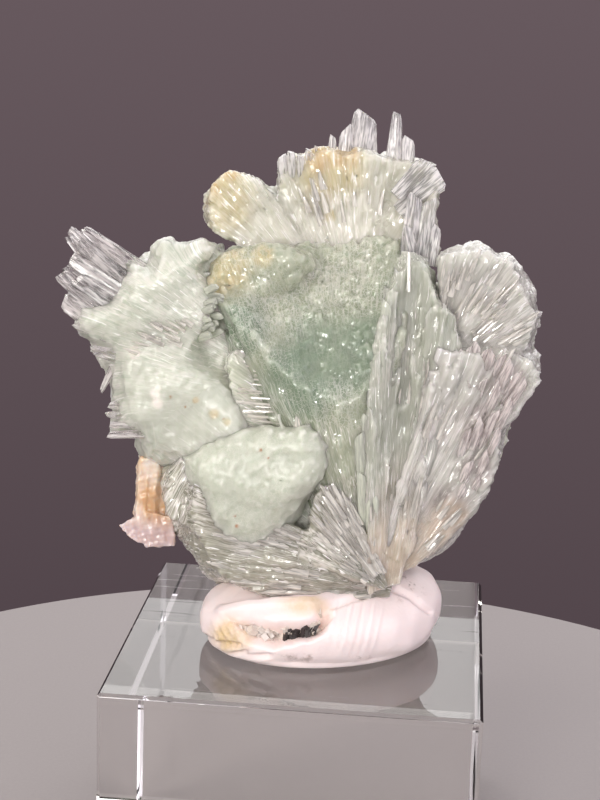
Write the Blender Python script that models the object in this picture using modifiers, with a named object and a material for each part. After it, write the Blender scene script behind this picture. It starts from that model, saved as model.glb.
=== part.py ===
"""Blue aragonite on its display block: sheaves of bladed crystals grown together, three peach calcite
blades on their lower left, a saddle of white mineral tack under them and a clear acrylic block.
Metres, +Z up. The origin is the middle of the block's underside, and -Y is the side that is shown."""

import math
import random

import bmesh
import bpy
from mathutils import Matrix, Vector

# All sizes below are in millimetres, and this brings them to metres
MM = 0.001

# Clearance between pieces that touch, and how near corners are merged
GAP = 0.3
MERGE = 0.01

# Acrylic block, sawn square and polished, with a fine chamfer on its edges
BLOCK_SIDE = 40.0
BLOCK_HEIGHT = 25.0
BLOCK_CHAMFER = 0.35

# Tack saddle: the middle of its foot, half its length, half its width, its height and its turn
TACK_MIDDLE = (1.9, -0.4)
TACK_HALF_LENGTH = 14.0
TACK_HALF_WIDTH = 10.6
TACK_HEIGHT = 7.4
TACK_TURN_DEG = 26.0
# The tack's foot is this share of its depth below the widest level, and its right end is pressed up from
# this share of its half length on
TACK_FOOT_LEVEL = -0.55
TACK_END_RISE = 3.0
TACK_RISE_START = 0.2
# How full its section is, where 2 would be an ellipse
TACK_FULLNESS = 2.5

# Open fold in the front of the tack, with the crumb of stony matrix that shows in it
FOLD_MIDDLE = (-1.9, -9.6, 28.9)
FOLD_HALF_SIZE = (5.8, 3.0, 1.7)
FOLD_TURN_DEG = 12.0
FOLD_LEAN_DEG = -6.0
MATRIX_MIDDLE = (-1.9, -8.9, 28.8)
MATRIX_HALF_SIZE = (4.9, 1.9, 1.2)
# How far the crumb's corners are drawn in, as a share of its size
MATRIX_ROUGH = (0.86, 1.0)

# Facets of the round forms, around and from pole to pole
TACK_FACETS = (30, 14)
FOLD_FACETS = (20, 10)
MATRIX_FACETS = (16, 8)

# How far below its tips a groove between two crystals runs, as a share of the sheaf's length, and how far it
# is drawn in from the front and rear and from the ends, as a share of a crystal
GROOVE = 0.045
FLUTE_FRONT = 0.16
FLUTE_END = 0.12

# Sheaves of crystals, each a fan from a short root line to a patch of tips. The patch lies between the line
# of its rear tips and the line of its front tips, and bulges forward by so many millimetres. Rough is how
# unequal the crystals' lengths are
SHEAVES = {
    # the large fan in the middle, with a granular cap that faces forward above a fluted hollow
    "centre": dict(
        root=((4.8, 1.0, 32.5), (9.2, 1.0, 32.5)), waist=5.0, columns=10, rows=4, rough=0.028, bulge=1.2,
        rear=((-12.6, 2.0, 66.3), (-8.0, 2.6, 68.8), (-1.0, 3.0, 70.2), (6.0, 3.0, 70.4), (12.0, 2.5, 69.8)),
        front=((-12.2, -3.0, 63.2), (-8.0, -6.0, 59.8), (-1.0, -7.6, 56.4), (5.0, -6.8, 55.0),
               (11.0, -3.0, 62.0))),
    # the pale fan that stands up behind the middle one
    "crown": dict(
        root=((-0.5, 6.0, 61.0), (8.0, 6.0, 60.0)), waist=8.0, columns=8, rows=2, rough=0.05, bulge=0.5,
        rear=((-4.6, 9.0, 75.6), (-1.0, 9.5, 78.3), (4.0, 9.5, 79.6), (9.0, 9.5, 79.4), (13.0, 8.5, 76.8)),
        front=((-3.8, 2.6, 75.2), (-0.6, 1.2, 77.4), (4.0, 0.8, 78.0), (8.8, 1.4, 76.6), (12.4, 3.0, 73.6))),
    "crown_side": dict(
        root=((6.5, 6.5, 64.0), (8.5, 6.0, 59.0)), waist=4.0, columns=4, rows=2, rough=0.05, bulge=0.0,
        rear=((11.0, 9.0, 77.5), (14.0, 8.0, 75.6), (13.2, 7.5, 71.5), (13.6, 6.5, 67.0)),
        front=((10.6, 4.0, 76.4), (13.4, 3.6, 74.6), (12.4, 3.2, 70.5), (12.8, 2.6, 66.4))),
    "crown_left": dict(
        root=((-2.6, 4.6, 63.6), (-0.6, 4.6, 64.4)), waist=4.0, columns=5, rows=2, rough=0.05, bulge=0.0,
        rear=((-13.6, 6.0, 72.8), (-13.0, 6.4, 75.8), (-10.2, 6.6, 76.8), (-6.6, 6.6, 76.2), (-3.4, 6.0, 74.0)),
        front=((-12.2, 1.4, 71.4), (-11.8, 0.8, 74.8), (-9.6, 0.8, 76.2), (-6.4, 0.8, 75.0), (-3.8, 1.4, 73.0))),
    # the left mass: blades that fan out to the left and up from behind the smooth lobes
    "left": dict(
        root=((-13.5, 0.0, 50.5), (-9.5, 0.0, 51.5)), waist=5.0, columns=8, rows=3, rough=0.05, bulge=1.0,
        rear=((-23.6, 4.0, 48.8), (-25.8, 4.0, 54.5), (-26.8, 4.0, 60.5), (-24.6, 4.0, 65.2), (-18.0, 4.0, 68.2),
              (-10.6, 4.0, 69.8)),
        front=((-22.6, -4.6, 48.6), (-23.8, -6.0, 53.6), (-23.8, -7.0, 58.8), (-20.6, -7.6, 62.6),
               (-14.6, -7.6, 65.0), (-9.0, -5.4, 63.0))),
    "left_shoulder": dict(
        root=((-12.5, 3.0, 58.0), (-9.5, 3.0, 58.0)), waist=4.0, columns=4, rows=1, rough=0.03, bulge=0.0,
        rear=((-18.6, 5.0, 67.4), (-16.9, 5.2, 69.4), (-14.6, 5.2, 68.8), (-11.0, 5.0, 70.4)),
        front=((-18.2, 0.6, 67.2), (-16.6, 0.4, 69.2), (-14.4, 0.4, 68.4), (-10.8, 0.6, 69.6))),
    # the stem that carries the left mass from the common root
    "left_stem": dict(
        root=((6.0, 1.0, 32.0), (9.0, 1.0, 32.0)), waist=6.0, columns=6, rows=2, rough=0.03, bulge=0.0,
        rear=((-14.0, 5.0, 37.0), (-17.0, 6.0, 42.0), (-18.5, 6.0, 49.0), (-12.0, 6.0, 57.0), (-3.0, 5.0, 61.0)),
        front=((-12.6, -6.0, 38.0), (-13.0, -7.0, 43.0), (-12.5, -7.0, 49.0), (-7.5, -5.5, 54.0),
               (-3.5, -3.0, 57.0))),
    # glassy fibres at the foot, running left almost level
    "foot_left": dict(
        root=((7.5, -3.0, 31.0), (9.5, -3.0, 34.0)), waist=5.0, columns=7, rows=2, rough=0.04, bulge=0.0,
        rear=((-7.0, -1.0, 30.5), (-11.4, -1.0, 33.0), (-14.0, -1.0, 36.0), (-16.0, -2.0, 40.5),
              (-9.0, -3.0, 43.0), (1.5, -2.5, 44.5)),
        front=((-6.6, -8.0, 31.4), (-10.6, -8.6, 34.2), (-13.0, -8.8, 37.2), (-14.0, -8.6, 41.0),
               (-6.0, -7.6, 42.0), (2.4, -5.4, 44.0))),
    "veil": dict(
        root=((-13.0, -2.5, 49.5), (-8.5, -2.5, 49.5)), waist=3.0, columns=5, rows=1, rough=0.04, bulge=0.0,
        rear=((-17.4, -1.0, 40.2), (-16.0, -1.5, 37.4), (-12.5, -2.0, 36.0), (-9.0, -2.0, 35.6)),
        front=((-17.0, -6.4, 41.2), (-15.4, -7.6, 38.6), (-12.0, -8.6, 37.6), (-8.6, -8.8, 37.4))),
    # the long cream blades on the front right
    "front_right": dict(
        root=((8.5, -5.0, 31.5), (11.0, -4.0, 32.0)), waist=4.0, columns=6, rows=2, rough=0.03, bulge=0.0,
        rear=((7.4, -3.0, 55.0), (9.8, -2.0, 65.5), (12.4, -1.0, 68.2), (15.4, -1.0, 65.4), (18.0, -0.5, 60.0)),
        front=((6.2, -8.4, 50.8), (7.8, -9.0, 56.6), (10.2, -8.4, 61.6), (13.6, -7.0, 62.8),
               (16.6, -5.2, 58.0))),
    # the right lobe, round in outline, and the long glassy blades below it
    "right": dict(
        root=((12.6, 1.0, 57.5), (14.0, 1.0, 53.5)), waist=4.0, columns=7, rows=2, rough=0.025, bulge=0.5,
        rear=((12.8, 4.0, 69.8), (16.8, 4.4, 70.6), (20.8, 4.4, 69.4), (23.2, 4.0, 66.0), (24.0, 3.4, 61.0)),
        front=((13.0, -3.4, 68.4), (16.4, -4.4, 69.4), (20.2, -4.4, 67.8), (22.6, -4.0, 64.2),
               (22.8, -3.4, 60.4))),
    "right_low": dict(
        root=((8.5, 0.0, 32.5), (10.5, 0.0, 31.5)), waist=4.0, columns=9, rows=2, rough=0.025, bulge=0.5,
        rear=((22.4, 4.0, 61.4), (24.2, 3.4, 56.8), (22.6, 3.0, 52.4), (21.6, 3.0, 48.0), (19.2, 2.6, 42.6),
              (16.6, 2.2, 38.0), (14.6, 1.6, 34.4)),
        front=((20.0, -3.8, 60.0), (22.8, -4.4, 56.0), (21.6, -4.8, 51.6), (20.2, -5.2, 46.6),
               (18.2, -5.6, 42.2), (15.8, -5.6, 38.0), (13.8, -5.0, 34.6))),
    "foot_right": dict(
        root=((8.5, -4.5, 31.2), (10.5, -4.0, 31.2)), waist=3.0, columns=4, rows=1, rough=0.06, bulge=0.0,
        rear=((8.2, -5.0, 43.0), (12.4, -4.6, 43.4), (17.2, -4.0, 41.8), (15.6, -3.6, 38.0)),
        front=((7.6, -8.4, 41.6), (12.0, -9.2, 41.6), (16.4, -8.2, 40.4), (14.6, -7.2, 37.0))),
    # the hidden side: four more sheaves from the same root
    "back_upper": dict(
        root=((0.0, 4.0, 48.0), (6.0, 4.0, 48.0)), waist=5.0, columns=7, rows=3, rough=0.03, bulge=1.5,
        rear=((-11.0, 11.0, 55.0), (-6.0, 14.5, 56.0), (1.0, 15.5, 56.0), (8.0, 14.0, 56.0),
              (13.0, 10.5, 55.0)),
        front=((-12.5, 6.0, 64.0), (-7.0, 7.5, 68.0), (0.0, 8.0, 69.5), (7.0, 7.5, 68.5), (13.0, 6.0, 65.0))),
    "back_lower": dict(
        root=((4.0, 3.0, 32.5), (9.0, 3.0, 32.5)), waist=5.0, columns=8, rows=2, rough=0.035, bulge=1.0,
        rear=((-9.0, 9.0, 35.0), (-4.0, 13.0, 36.5), (3.0, 15.0, 38.0), (9.0, 13.5, 37.5), (13.0, 10.0, 36.0)),
        front=((-12.0, 11.0, 46.0), (-7.0, 15.0, 51.0), (1.0, 17.0, 53.5), (9.0, 15.5, 52.0),
               (15.0, 12.0, 47.0))),
    "back_left": dict(
        root=((-2.0, 2.0, 42.0), (-3.0, 2.0, 50.0)), waist=3.0, columns=6, rows=2, rough=0.03, bulge=0.0,
        rear=((-8.0, 13.0, 40.0), (-13.0, 14.5, 45.0), (-15.0, 14.5, 52.0), (-13.0, 13.0, 60.0)),
        front=((-13.0, 6.0, 38.0), (-19.5, 7.0, 44.0), (-22.5, 7.0, 52.0), (-20.0, 7.0, 60.5))),
    "back_right": dict(
        root=((9.0, 3.0, 35.0), (9.5, 3.0, 40.0)), waist=5.0, columns=6, rows=2, rough=0.04, bulge=1.0,
        rear=((9.0, 12.5, 38.5), (14.0, 14.0, 43.5), (16.0, 14.0, 50.5), (14.0, 12.5, 58.0)),
        front=((13.5, 6.0, 36.0), (19.5, 7.0, 42.0), (22.0, 7.0, 50.0), (20.5, 6.5, 58.5))),
}

# Smooth flat lobes, the closed ends of sheaves that point forward: middle, half sizes and lean to the right
LOBES = {
    "wing": dict(middle=(-17.0, -2.5, 61.4), half=(7.8, 3.6, 5.8), lean=14.0),
    "upper": dict(middle=(-13.8, -4.2, 55.4), half=(7.8, 4.4, 7.4), lean=-20.0),
    "upper_right": dict(middle=(-10.6, -4.8, 51.0), half=(6.2, 4.4, 6.4), lean=-14.0),
    "upper_left": dict(middle=(-15.8, -4.2, 50.4), half=(5.6, 4.2, 5.4), lean=20.0),
    "lower": dict(middle=(-6.8, -6.0, 43.8), half=(6.4, 4.4, 7.2), lean=24.0),
    "thumb": dict(middle=(-2.6, -6.2, 47.2), half=(5.4, 4.2, 5.2), lean=-20.0),
    "nose": dict(middle=(-6.6, -1.6, 66.4), half=(6.2, 3.4, 3.2), lean=-6.0),
}
# The ball a lobe starts from, and the low swellings on it: how many, how high as a share of its size, how
# narrow, and the share of the ball that is left between them
LOBE_STEPS = 3
LUMPS = 26
LUMP_HEIGHT = (0.03, 0.09)
LUMP_NARROW = 14.0
LUMP_BASE = 0.95

# A blade's root is this share of its full size, and its chisel edge reaches this far to each side
BLADE_ROOT = 0.7
CHISEL_EDGE = (-0.5, 0.4)
# Clear single blades: where each starts, its tip, width, thickness, and how long its chisel end is
BLADES = {
    "top_broad": dict(root=(4.2, 7.0, 70.0), tip=(4.0, 6.6, 83.4), width=4.6, thickness=2.2, chisel=0.12),
    "top_narrow": dict(root=(6.4, 6.4, 70.0), tip=(7.6, 6.2, 83.5), width=2.3, thickness=2.0, chisel=0.2),
    "top_right": dict(root=(7.0, 6.0, 70.0), tip=(9.2, 6.0, 80.9), width=2.4, thickness=2.0, chisel=0.15),
    "top_left": dict(root=(2.5, 6.0, 70.0), tip=(0.2, 6.4, 80.4), width=1.8, thickness=1.8, chisel=0.15),
    "left_upper": dict(root=(-14.0, 0.5, 57.0), tip=(-27.3, 0.4, 70.8), width=2.6, thickness=1.8, chisel=0.08),
    "left_lower": dict(root=(-14.0, -0.5, 54.5), tip=(-28.6, -0.8, 66.6), width=4.0, thickness=2.2, chisel=0.1),
    "left_spike": dict(root=(-16.0, -1.0, 53.0), tip=(-23.8, -2.0, 52.8), width=2.2, thickness=1.8, chisel=0.25),
    "right_knob": dict(root=(15.0, 0.0, 51.0), tip=(24.6, 0.4, 55.4), width=2.2, thickness=2.4, chisel=0.1),
    "right_bump": dict(root=(15.0, 1.0, 60.0), tip=(24.7, 1.4, 63.0), width=1.8, thickness=2.0, chisel=0.12),
    "foot_spike": dict(root=(8.6, -5.0, 33.0), tip=(7.2, -8.8, 43.6), width=1.8, thickness=1.6, chisel=0.3),
    "hollow_fan": dict(root=(6.4, -3.5, 35.0), tip=(0.9, -5.6, 46.2), width=2.6, thickness=2.0, chisel=0.2),
}

# Peach calcite: a stub of upright blades and a rhombic crystal that points left
CALCITE = {
    "post": dict(root=(-17.6, 0.0, 37.6), tip=(-17.9, 0.0, 47.4), width=3.8, thickness=4.0, chisel=0.12),
    "post_rear": dict(root=(-16.2, 2.2, 38.0), tip=(-16.8, 2.6, 46.4), width=3.6, thickness=3.4, chisel=0.2),
    "rhomb": dict(root=(-15.4, 0.0, 36.0), tip=(-21.8, -1.0, 37.5), width=4.9, thickness=3.6, chisel=0.5),
}

# Each piece's finish: its colour, its roughness and how much light goes through it
FINISHES = {
    "acrylic": ((0.93, 0.94, 0.95), 0.03, 0.95),
    "white_tack": ((0.84, 0.76, 0.76), 0.6, 0.0),
    "stony_matrix": ((0.62, 0.52, 0.42), 0.85, 0.0),
    "peach_calcite": ((0.76, 0.50, 0.34), 0.35, 0.0),
    "mint_aragonite": ((0.66, 0.78, 0.69), 0.3, 0.3),
}

# Seeds of the unevenness of the crumb and of the cluster
CRUMB_SEED = 5
CLUSTER_SEED = 11


def clear_scene():
    """Removes the objects of the open file."""
    for old in list(bpy.data.objects):
        bpy.data.objects.remove(old, do_unlink=True)


def new_collection(name, rendered=True):
    collection = bpy.data.collections.new(name)
    collection.hide_render = not rendered
    bpy.context.scene.collection.children.link(collection)
    return collection


def material(name):
    """A Principled BSDF with the finish of this name."""
    colour, roughness, transmission = FINISHES[name]
    finish = bpy.data.materials.new(name)
    finish.use_nodes = True
    shader = finish.node_tree.nodes["Principled BSDF"]
    shader.inputs["Base Color"].default_value = (*colour, 1.0)
    shader.inputs["Roughness"].default_value = roughness
    shader.inputs["Metallic"].default_value = 0.0
    shader.inputs["Transmission Weight"].default_value = transmission
    return finish


def add_object(name, bm, collection, finish, smooth=False):
    mesh = bpy.data.meshes.new(name)
    bmesh.ops.recalc_face_normals(bm, faces=bm.faces)
    bm.to_mesh(mesh)
    bm.free()
    mesh.materials.append(finish)
    if smooth:
        mesh.shade_smooth()
    made = bpy.data.objects.new(name, mesh)
    collection.objects.link(made)
    return made


def on_line(points, share):
    """The place a share of the way along a line through points, rounded as a Catmull-Rom curve."""
    points = [Vector(point) for point in points]
    reach = share * (len(points) - 1)
    i = min(int(reach), len(points) - 2)
    t = reach - i
    b, c = points[i], points[i + 1]
    a = points[i - 1] if i > 0 else 2 * b - c
    d = points[i + 2] if i + 2 < len(points) else 2 * c - b
    return 0.5 * (2 * b + (c - a) * t + (2 * a - 5 * b + 4 * c - d) * t**2 + (3 * b - a - 3 * c + d) * t**3)


def sheaf_ends(spec, s, t):
    """The root and the tip at s along the sheaf and t from its rear to its front."""
    rear, front = on_line(spec["rear"], s), on_line(spec["front"], s)
    start, end = Vector(spec["root"][0]), Vector(spec["root"][1])
    forward = (on_line(spec["front"], 0.5) - on_line(spec["rear"], 0.5)).normalized()
    root = start.lerp(end, s) + forward * (t - 0.5) * spec["waist"]
    tip = rear.lerp(front, t)
    tip += (tip - root).normalized() * spec["bulge"] * 4 * t * (1 - t)
    return root, tip


def sheaf_mesh(spec, chance):
    """A closed fan: two steps of the grid to a crystal, whose middle stands above the grooves round it."""
    columns, rows = spec["columns"], spec["rows"]
    wide, deep = 2 * columns, 2 * rows
    length = {}
    for column in range(columns):
        for row in range(rows):
            length[column, row] = 1 + chance.uniform(-1, 1) * spec["rough"]
    bm = bmesh.new()
    grid = {}
    for i in range(wide + 1):
        for j in range(deep + 1):
            s, t = i / wide, j / deep
            # a groove is drawn in from the fan's edge, so that its crystals stand out as flutes
            if i % 2 == 0 and j in (0, deep):
                t += (FLUTE_FRONT if j == 0 else -FLUTE_FRONT) / rows
            if j % 2 == 0 and i in (0, wide):
                s += (FLUTE_END if i == 0 else -FLUTE_END) / columns
            root, tip = sheaf_ends(spec, s, t)
            around = [length[c, r] for c in {(i - 1) // 2, i // 2} for r in {(j - 1) // 2, j // 2}
                      if (c, r) in length]
            reach = min(around)
            if i % 2 == 0:
                reach -= GROOVE
            elif j % 2 == 0:
                reach -= GROOVE / 2
            grid[i, j] = bm.verts.new(root.lerp(tip, reach) * MM)
    for i in range(wide):
        for j in range(deep):
            bm.faces.new((grid[i, j], grid[i + 1, j], grid[i + 1, j + 1], grid[i, j + 1]))
    edge = [(i, 0) for i in range(wide)] + [(wide, j) for j in range(deep)]
    edge += [(wide - i, deep) for i in range(wide)] + [(0, deep - j) for j in range(deep)]
    ring = []
    for i, j in edge[::2]:
        root, tip = sheaf_ends(spec, i / wide, j / deep)
        ring.append(bm.verts.new(root * MM))
    for k, foot in enumerate(ring):
        after = ring[(k + 1) % len(ring)]
        left, middle, right = (grid[edge[(2 * k + step) % len(edge)]] for step in (0, 1, 2))
        bm.faces.new((left, foot, middle))
        bm.faces.new((foot, after, middle))
        bm.faces.new((after, right, middle))
    bm.faces.new(ring)
    bmesh.ops.triangulate(bm, faces=bm.faces)
    return bm


def blade_mesh(spec, margin=0.0):
    """One crystal, the hull of a four-sided shaft that widens a little and ends in a chisel, grown by margin."""
    root, tip = Vector(spec["root"]), Vector(spec["tip"])
    axis = (tip - root).normalized()
    side = axis.cross(Vector((0, 1, 0))).normalized()
    face = axis.cross(side)
    shoulder = root.lerp(tip, 1 - spec["chisel"])
    half_width, half_thickness = spec["width"] / 2, spec["thickness"] / 2
    corners = []
    for centre, share in ((root - axis * margin, BLADE_ROOT), (shoulder, 1.0)):
        for across in (-1, 1):
            for through in (-1, 1):
                offset = side * across * (half_width * share + margin)
                corners.append(centre + offset + face * through * (half_thickness * share + margin))
    for across in CHISEL_EDGE:
        corners.append(tip + axis * margin + side * (across * half_width + math.copysign(margin, across)))
    bm = bmesh.new()
    hull = [bm.verts.new(corner * MM) for corner in corners]
    bmesh.ops.convex_hull(bm, input=hull)
    return bm


def lobe_mesh(spec, chance):
    """A ball pulled to the lobe's half sizes, with low lumps on it."""
    bm = bmesh.new()
    bmesh.ops.create_icosphere(bm, subdivisions=LOBE_STEPS, radius=1.0)
    headings = [Vector([chance.uniform(-1, 1) for axis in range(3)]).normalized() for lump in range(LUMPS)]
    heights = [chance.uniform(*LUMP_HEIGHT) for lump in range(LUMPS)]
    for vert in bm.verts:
        heading = vert.co.normalized()
        swell = max(height * math.exp(-LUMP_NARROW * (1 - heading.dot(top)))
                    for top, height in zip(headings, heights))
        vert.co *= LUMP_BASE + swell
    turn = Matrix.Rotation(math.radians(spec["lean"]), 4, "Y")
    place = Matrix.Translation(Vector(spec["middle"]) * MM)
    size = Matrix.Diagonal(Vector((*spec["half"], 1 / MM)) * MM)
    bmesh.ops.transform(bm, matrix=place @ turn @ size, verts=bm.verts)
    return bm


def squashed_ball(middle, half, facets):
    """A ball pulled to these half sizes, with the turn and the lean of the fold."""
    bm = bmesh.new()
    bmesh.ops.create_uvsphere(bm, u_segments=facets[0], v_segments=facets[1], radius=1.0)
    turn = Matrix.Rotation(math.radians(FOLD_TURN_DEG), 4, "Z")
    turn @= Matrix.Rotation(math.radians(FOLD_LEAN_DEG), 4, "Y")
    place = Matrix.Translation(Vector(middle) * MM)
    size = Matrix.Diagonal(Vector((*half, 1 / MM)) * MM)
    bmesh.ops.transform(bm, matrix=place @ turn @ size, verts=bm.verts)
    return bm


def boolean(target, operation, tool=None, collection=None):
    cut = target.modifiers.new(operation.lower(), "BOOLEAN")
    cut.operation = operation
    cut.solver = "EXACT"
    if collection:
        cut.operand_type = "COLLECTION"
        cut.collection = collection
    else:
        cut.object = tool


def keep_outer_body(target, finish):
    """Replaces a joined object's mesh by its evaluated one, without the small closed voids inside."""
    shape = target.evaluated_get(bpy.context.evaluated_depsgraph_get())
    mesh = bpy.data.meshes.new_from_object(shape)
    bm = bmesh.new()
    bm.from_mesh(mesh)
    unseen, bodies = set(bm.faces), []
    while unseen:
        reach, body = [unseen.pop()], []
        while reach:
            face = reach.pop()
            body.append(face)
            for edge in face.edges:
                for near in edge.link_faces:
                    if near in unseen:
                        unseen.remove(near)
                        reach.append(near)
        bodies.append(body)
    bodies.sort(key=len)
    for body in bodies[:-1]:
        bmesh.ops.delete(bm, geom=body, context="FACES")
    bmesh.ops.delete(bm, geom=[vert for vert in bm.verts if not vert.link_faces], context="VERTS")
    bmesh.ops.triangulate(bm, faces=bm.faces)
    bm.to_mesh(mesh)
    bm.free()
    target.modifiers.clear()
    target.data = mesh
    target.data.materials.clear()
    target.data.materials.append(finish)


def make_block(collection, finish):
    bm = bmesh.new()
    size = Matrix.Diagonal((BLOCK_SIDE * MM, BLOCK_SIDE * MM, BLOCK_HEIGHT * MM, 1.0))
    lift = Matrix.Translation((0, 0, BLOCK_HEIGHT * MM / 2))
    bmesh.ops.create_cube(bm, size=1.0, matrix=lift @ size)
    block = add_object("acrylic_block", bm, collection, finish)
    chamfer = block.modifiers.new("polished_edges", "BEVEL")
    chamfer.width = BLOCK_CHAMFER * MM
    chamfer.segments = 1
    return block


def tack_form(margin):
    """The saddle of tack, a flat-footed bean whose right end is pushed up, grown outward by margin."""
    bm = bmesh.new()
    bmesh.ops.create_uvsphere(bm, u_segments=TACK_FACETS[0], v_segments=TACK_FACETS[1], radius=1.0)
    turn = Matrix.Rotation(math.radians(TACK_TURN_DEG), 3, "Z")
    for vert in bm.verts:
        out = Vector((vert.co.x, vert.co.y, 0))
        level = max(vert.co.z, TACK_FOOT_LEVEL)
        rise = (level - TACK_FOOT_LEVEL) / (1 - TACK_FOOT_LEVEL)
        if out.length > 0.001:
            out *= (1 - abs(level) ** TACK_FULLNESS) ** (1 / TACK_FULLNESS) / out.length
        lift = TACK_END_RISE * rise * max(0.0, out.x - TACK_RISE_START) ** 2
        flat = turn @ Vector((out.x * (TACK_HALF_LENGTH + margin), out.y * (TACK_HALF_WIDTH + margin), 0))
        height = BLOCK_HEIGHT + GAP - margin + (TACK_HEIGHT - GAP + 2 * margin) * rise + lift
        vert.co = Vector((TACK_MIDDLE[0] + flat.x, TACK_MIDDLE[1] + flat.y, height)) * MM
    bmesh.ops.remove_doubles(bm, verts=bm.verts, dist=MERGE * MM)
    return bm


def make_tack(collection, helpers, finish):
    tack = add_object("mineral_tack", tack_form(0.0), collection, finish, smooth=True)
    fold = squashed_ball(FOLD_MIDDLE, FOLD_HALF_SIZE, FOLD_FACETS)
    boolean(tack, "DIFFERENCE", add_object("tack_fold", fold, helpers, finish))
    return tack


def make_matrix(collection, finish):
    """The crumb of stony matrix in the fold, an uneven lump clear of the tack round it."""
    chance = random.Random(CRUMB_SEED)
    bm = squashed_ball(MATRIX_MIDDLE, MATRIX_HALF_SIZE, MATRIX_FACETS)
    middle = Vector(MATRIX_MIDDLE) * MM
    for vert in bm.verts:
        vert.co = middle + (vert.co - middle) * chance.uniform(*MATRIX_ROUGH)
    bmesh.ops.triangulate(bm, faces=bm.faces)
    return add_object("matrix_stone", bm, collection, finish)


def make_calcite(collection, helpers, finish):
    """The peach crystals, joined in one, and a room for them that is cut from the aragonite."""
    joined, room = [], []
    for name, spec in CALCITE.items():
        home = helpers if joined else collection
        joined.append(add_object("calcite_" + name, blade_mesh(spec), home, finish))
        room.append(add_object("calcite_room_" + name, blade_mesh(spec, GAP), helpers, finish))
    for blade in joined[1:]:
        boolean(joined[0], "UNION", blade)
    joined[0].name = "calcite_crystals"
    return joined[0], room


def make_cluster(collection, helpers, finish):
    """All the aragonite, grown together into one solid."""
    chance = random.Random(CLUSTER_SEED)
    made = []
    for name, spec in SHEAVES.items():
        home = helpers if made else collection
        made.append(add_object("sheaf_" + name, sheaf_mesh(spec, chance), home, finish))
    for name, spec in LOBES.items():
        add_object("lobe_" + name, lobe_mesh(spec, chance), helpers, finish)
    for name, spec in BLADES.items():
        add_object("blade_" + name, blade_mesh(spec), helpers, finish)
    made[0].name = "aragonite_cluster"
    boolean(made[0], "UNION", collection=helpers)
    return made[0]


clear_scene()
specimen = new_collection("blue_aragonite_specimen")
cutters = new_collection("cutters", rendered=False)
growth = new_collection("crystals_to_join", rendered=False)

make_block(specimen, material("acrylic"))
make_tack(specimen, cutters, material("white_tack"))
make_matrix(specimen, material("stony_matrix"))
calcite, calcite_room = make_calcite(specimen, cutters, material("peach_calcite"))

aragonite = material("mint_aragonite")
cluster = make_cluster(specimen, growth, aragonite)
seat = add_object("tack_seat", tack_form(GAP), cutters, aragonite)
for cutter in [seat, *calcite_room]:
    boolean(cluster, "DIFFERENCE", cutter)
keep_outer_body(cluster, aragonite)

for helper in [*cutters.objects, *growth.objects]:
    helper.hide_render = True
    helper.display_type = "WIRE"
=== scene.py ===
import math
from functools import partial

import bpy
import numpy as np
from mathutils import Matrix, Vector, kdtree


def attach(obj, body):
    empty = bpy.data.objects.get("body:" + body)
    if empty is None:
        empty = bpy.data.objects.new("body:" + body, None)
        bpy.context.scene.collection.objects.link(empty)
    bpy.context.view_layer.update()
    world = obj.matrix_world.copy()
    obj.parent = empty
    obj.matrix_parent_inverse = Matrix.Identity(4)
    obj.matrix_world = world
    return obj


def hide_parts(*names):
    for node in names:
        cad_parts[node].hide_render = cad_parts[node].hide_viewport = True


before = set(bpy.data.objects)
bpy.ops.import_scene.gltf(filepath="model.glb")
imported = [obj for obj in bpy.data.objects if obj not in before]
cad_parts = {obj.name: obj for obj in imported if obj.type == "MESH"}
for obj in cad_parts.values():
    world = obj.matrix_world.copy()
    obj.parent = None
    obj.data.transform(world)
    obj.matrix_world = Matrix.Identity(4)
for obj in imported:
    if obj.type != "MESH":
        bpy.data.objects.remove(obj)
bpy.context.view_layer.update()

# All sizes below are in millimetres, and this brings them to metres
MM = 0.001


# Camera and light
# The camera looks down at the specimen a little, from its left front, and is turned a little on its axis
camera = bpy.data.objects.new("camera", bpy.data.cameras.new("camera"))
bpy.context.scene.collection.objects.link(camera)
bpy.context.scene.camera = camera
camera.data.lens = 75.6
# The same lens in pixels of the 600 x 800 frame, and the frame's middle
LENS = 1680
MIDDLE_U, MIDDLE_V = 300, 400
yaw, pitch, roll = (math.radians(turn) for turn in (-5.154, 14.725, 1.873))
ahead = Vector((math.sin(yaw) * math.cos(pitch), math.cos(yaw) * math.cos(pitch), -math.sin(pitch)))
level = Vector((math.cos(yaw), -math.sin(yaw), 0))
above = level.cross(ahead)
right_way = math.cos(roll) * level + math.sin(roll) * above
up_way = math.cos(roll) * above - math.sin(roll) * level
turned = Matrix((right_way, up_way, -ahead)).transposed()
EYE = Vector((14.46, -177.97, 99.34))
camera.matrix_world = Matrix.Translation(EYE * MM) @ turned.to_4x4()
bpy.context.scene.view_settings.view_transform = "Standard"


def seen(u, v, depth):
    """The place in mm, at this depth along Y, that the camera sees at a pixel of its frame."""
    way = ahead + right_way * ((u - MIDDLE_U) / LENS) - up_way * ((v - MIDDLE_V) / LENS)
    return np.array(EYE + way * ((depth - EYE.y) / way.y))


def line_of(*places):
    """A line of places, each given as a pixel's u and v and a depth."""
    return [seen(*place) for place in places]


def colour(code):
    """An sRGB hex colour as linear RGBA."""
    parts = [int(code[i:i + 2], 16) / 255 for i in (1, 3, 5)]
    return [part / 12.92 if part <= 0.04045 else ((part + 0.055) / 1.055) ** 2.4 for part in parts] + [1.0]


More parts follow.
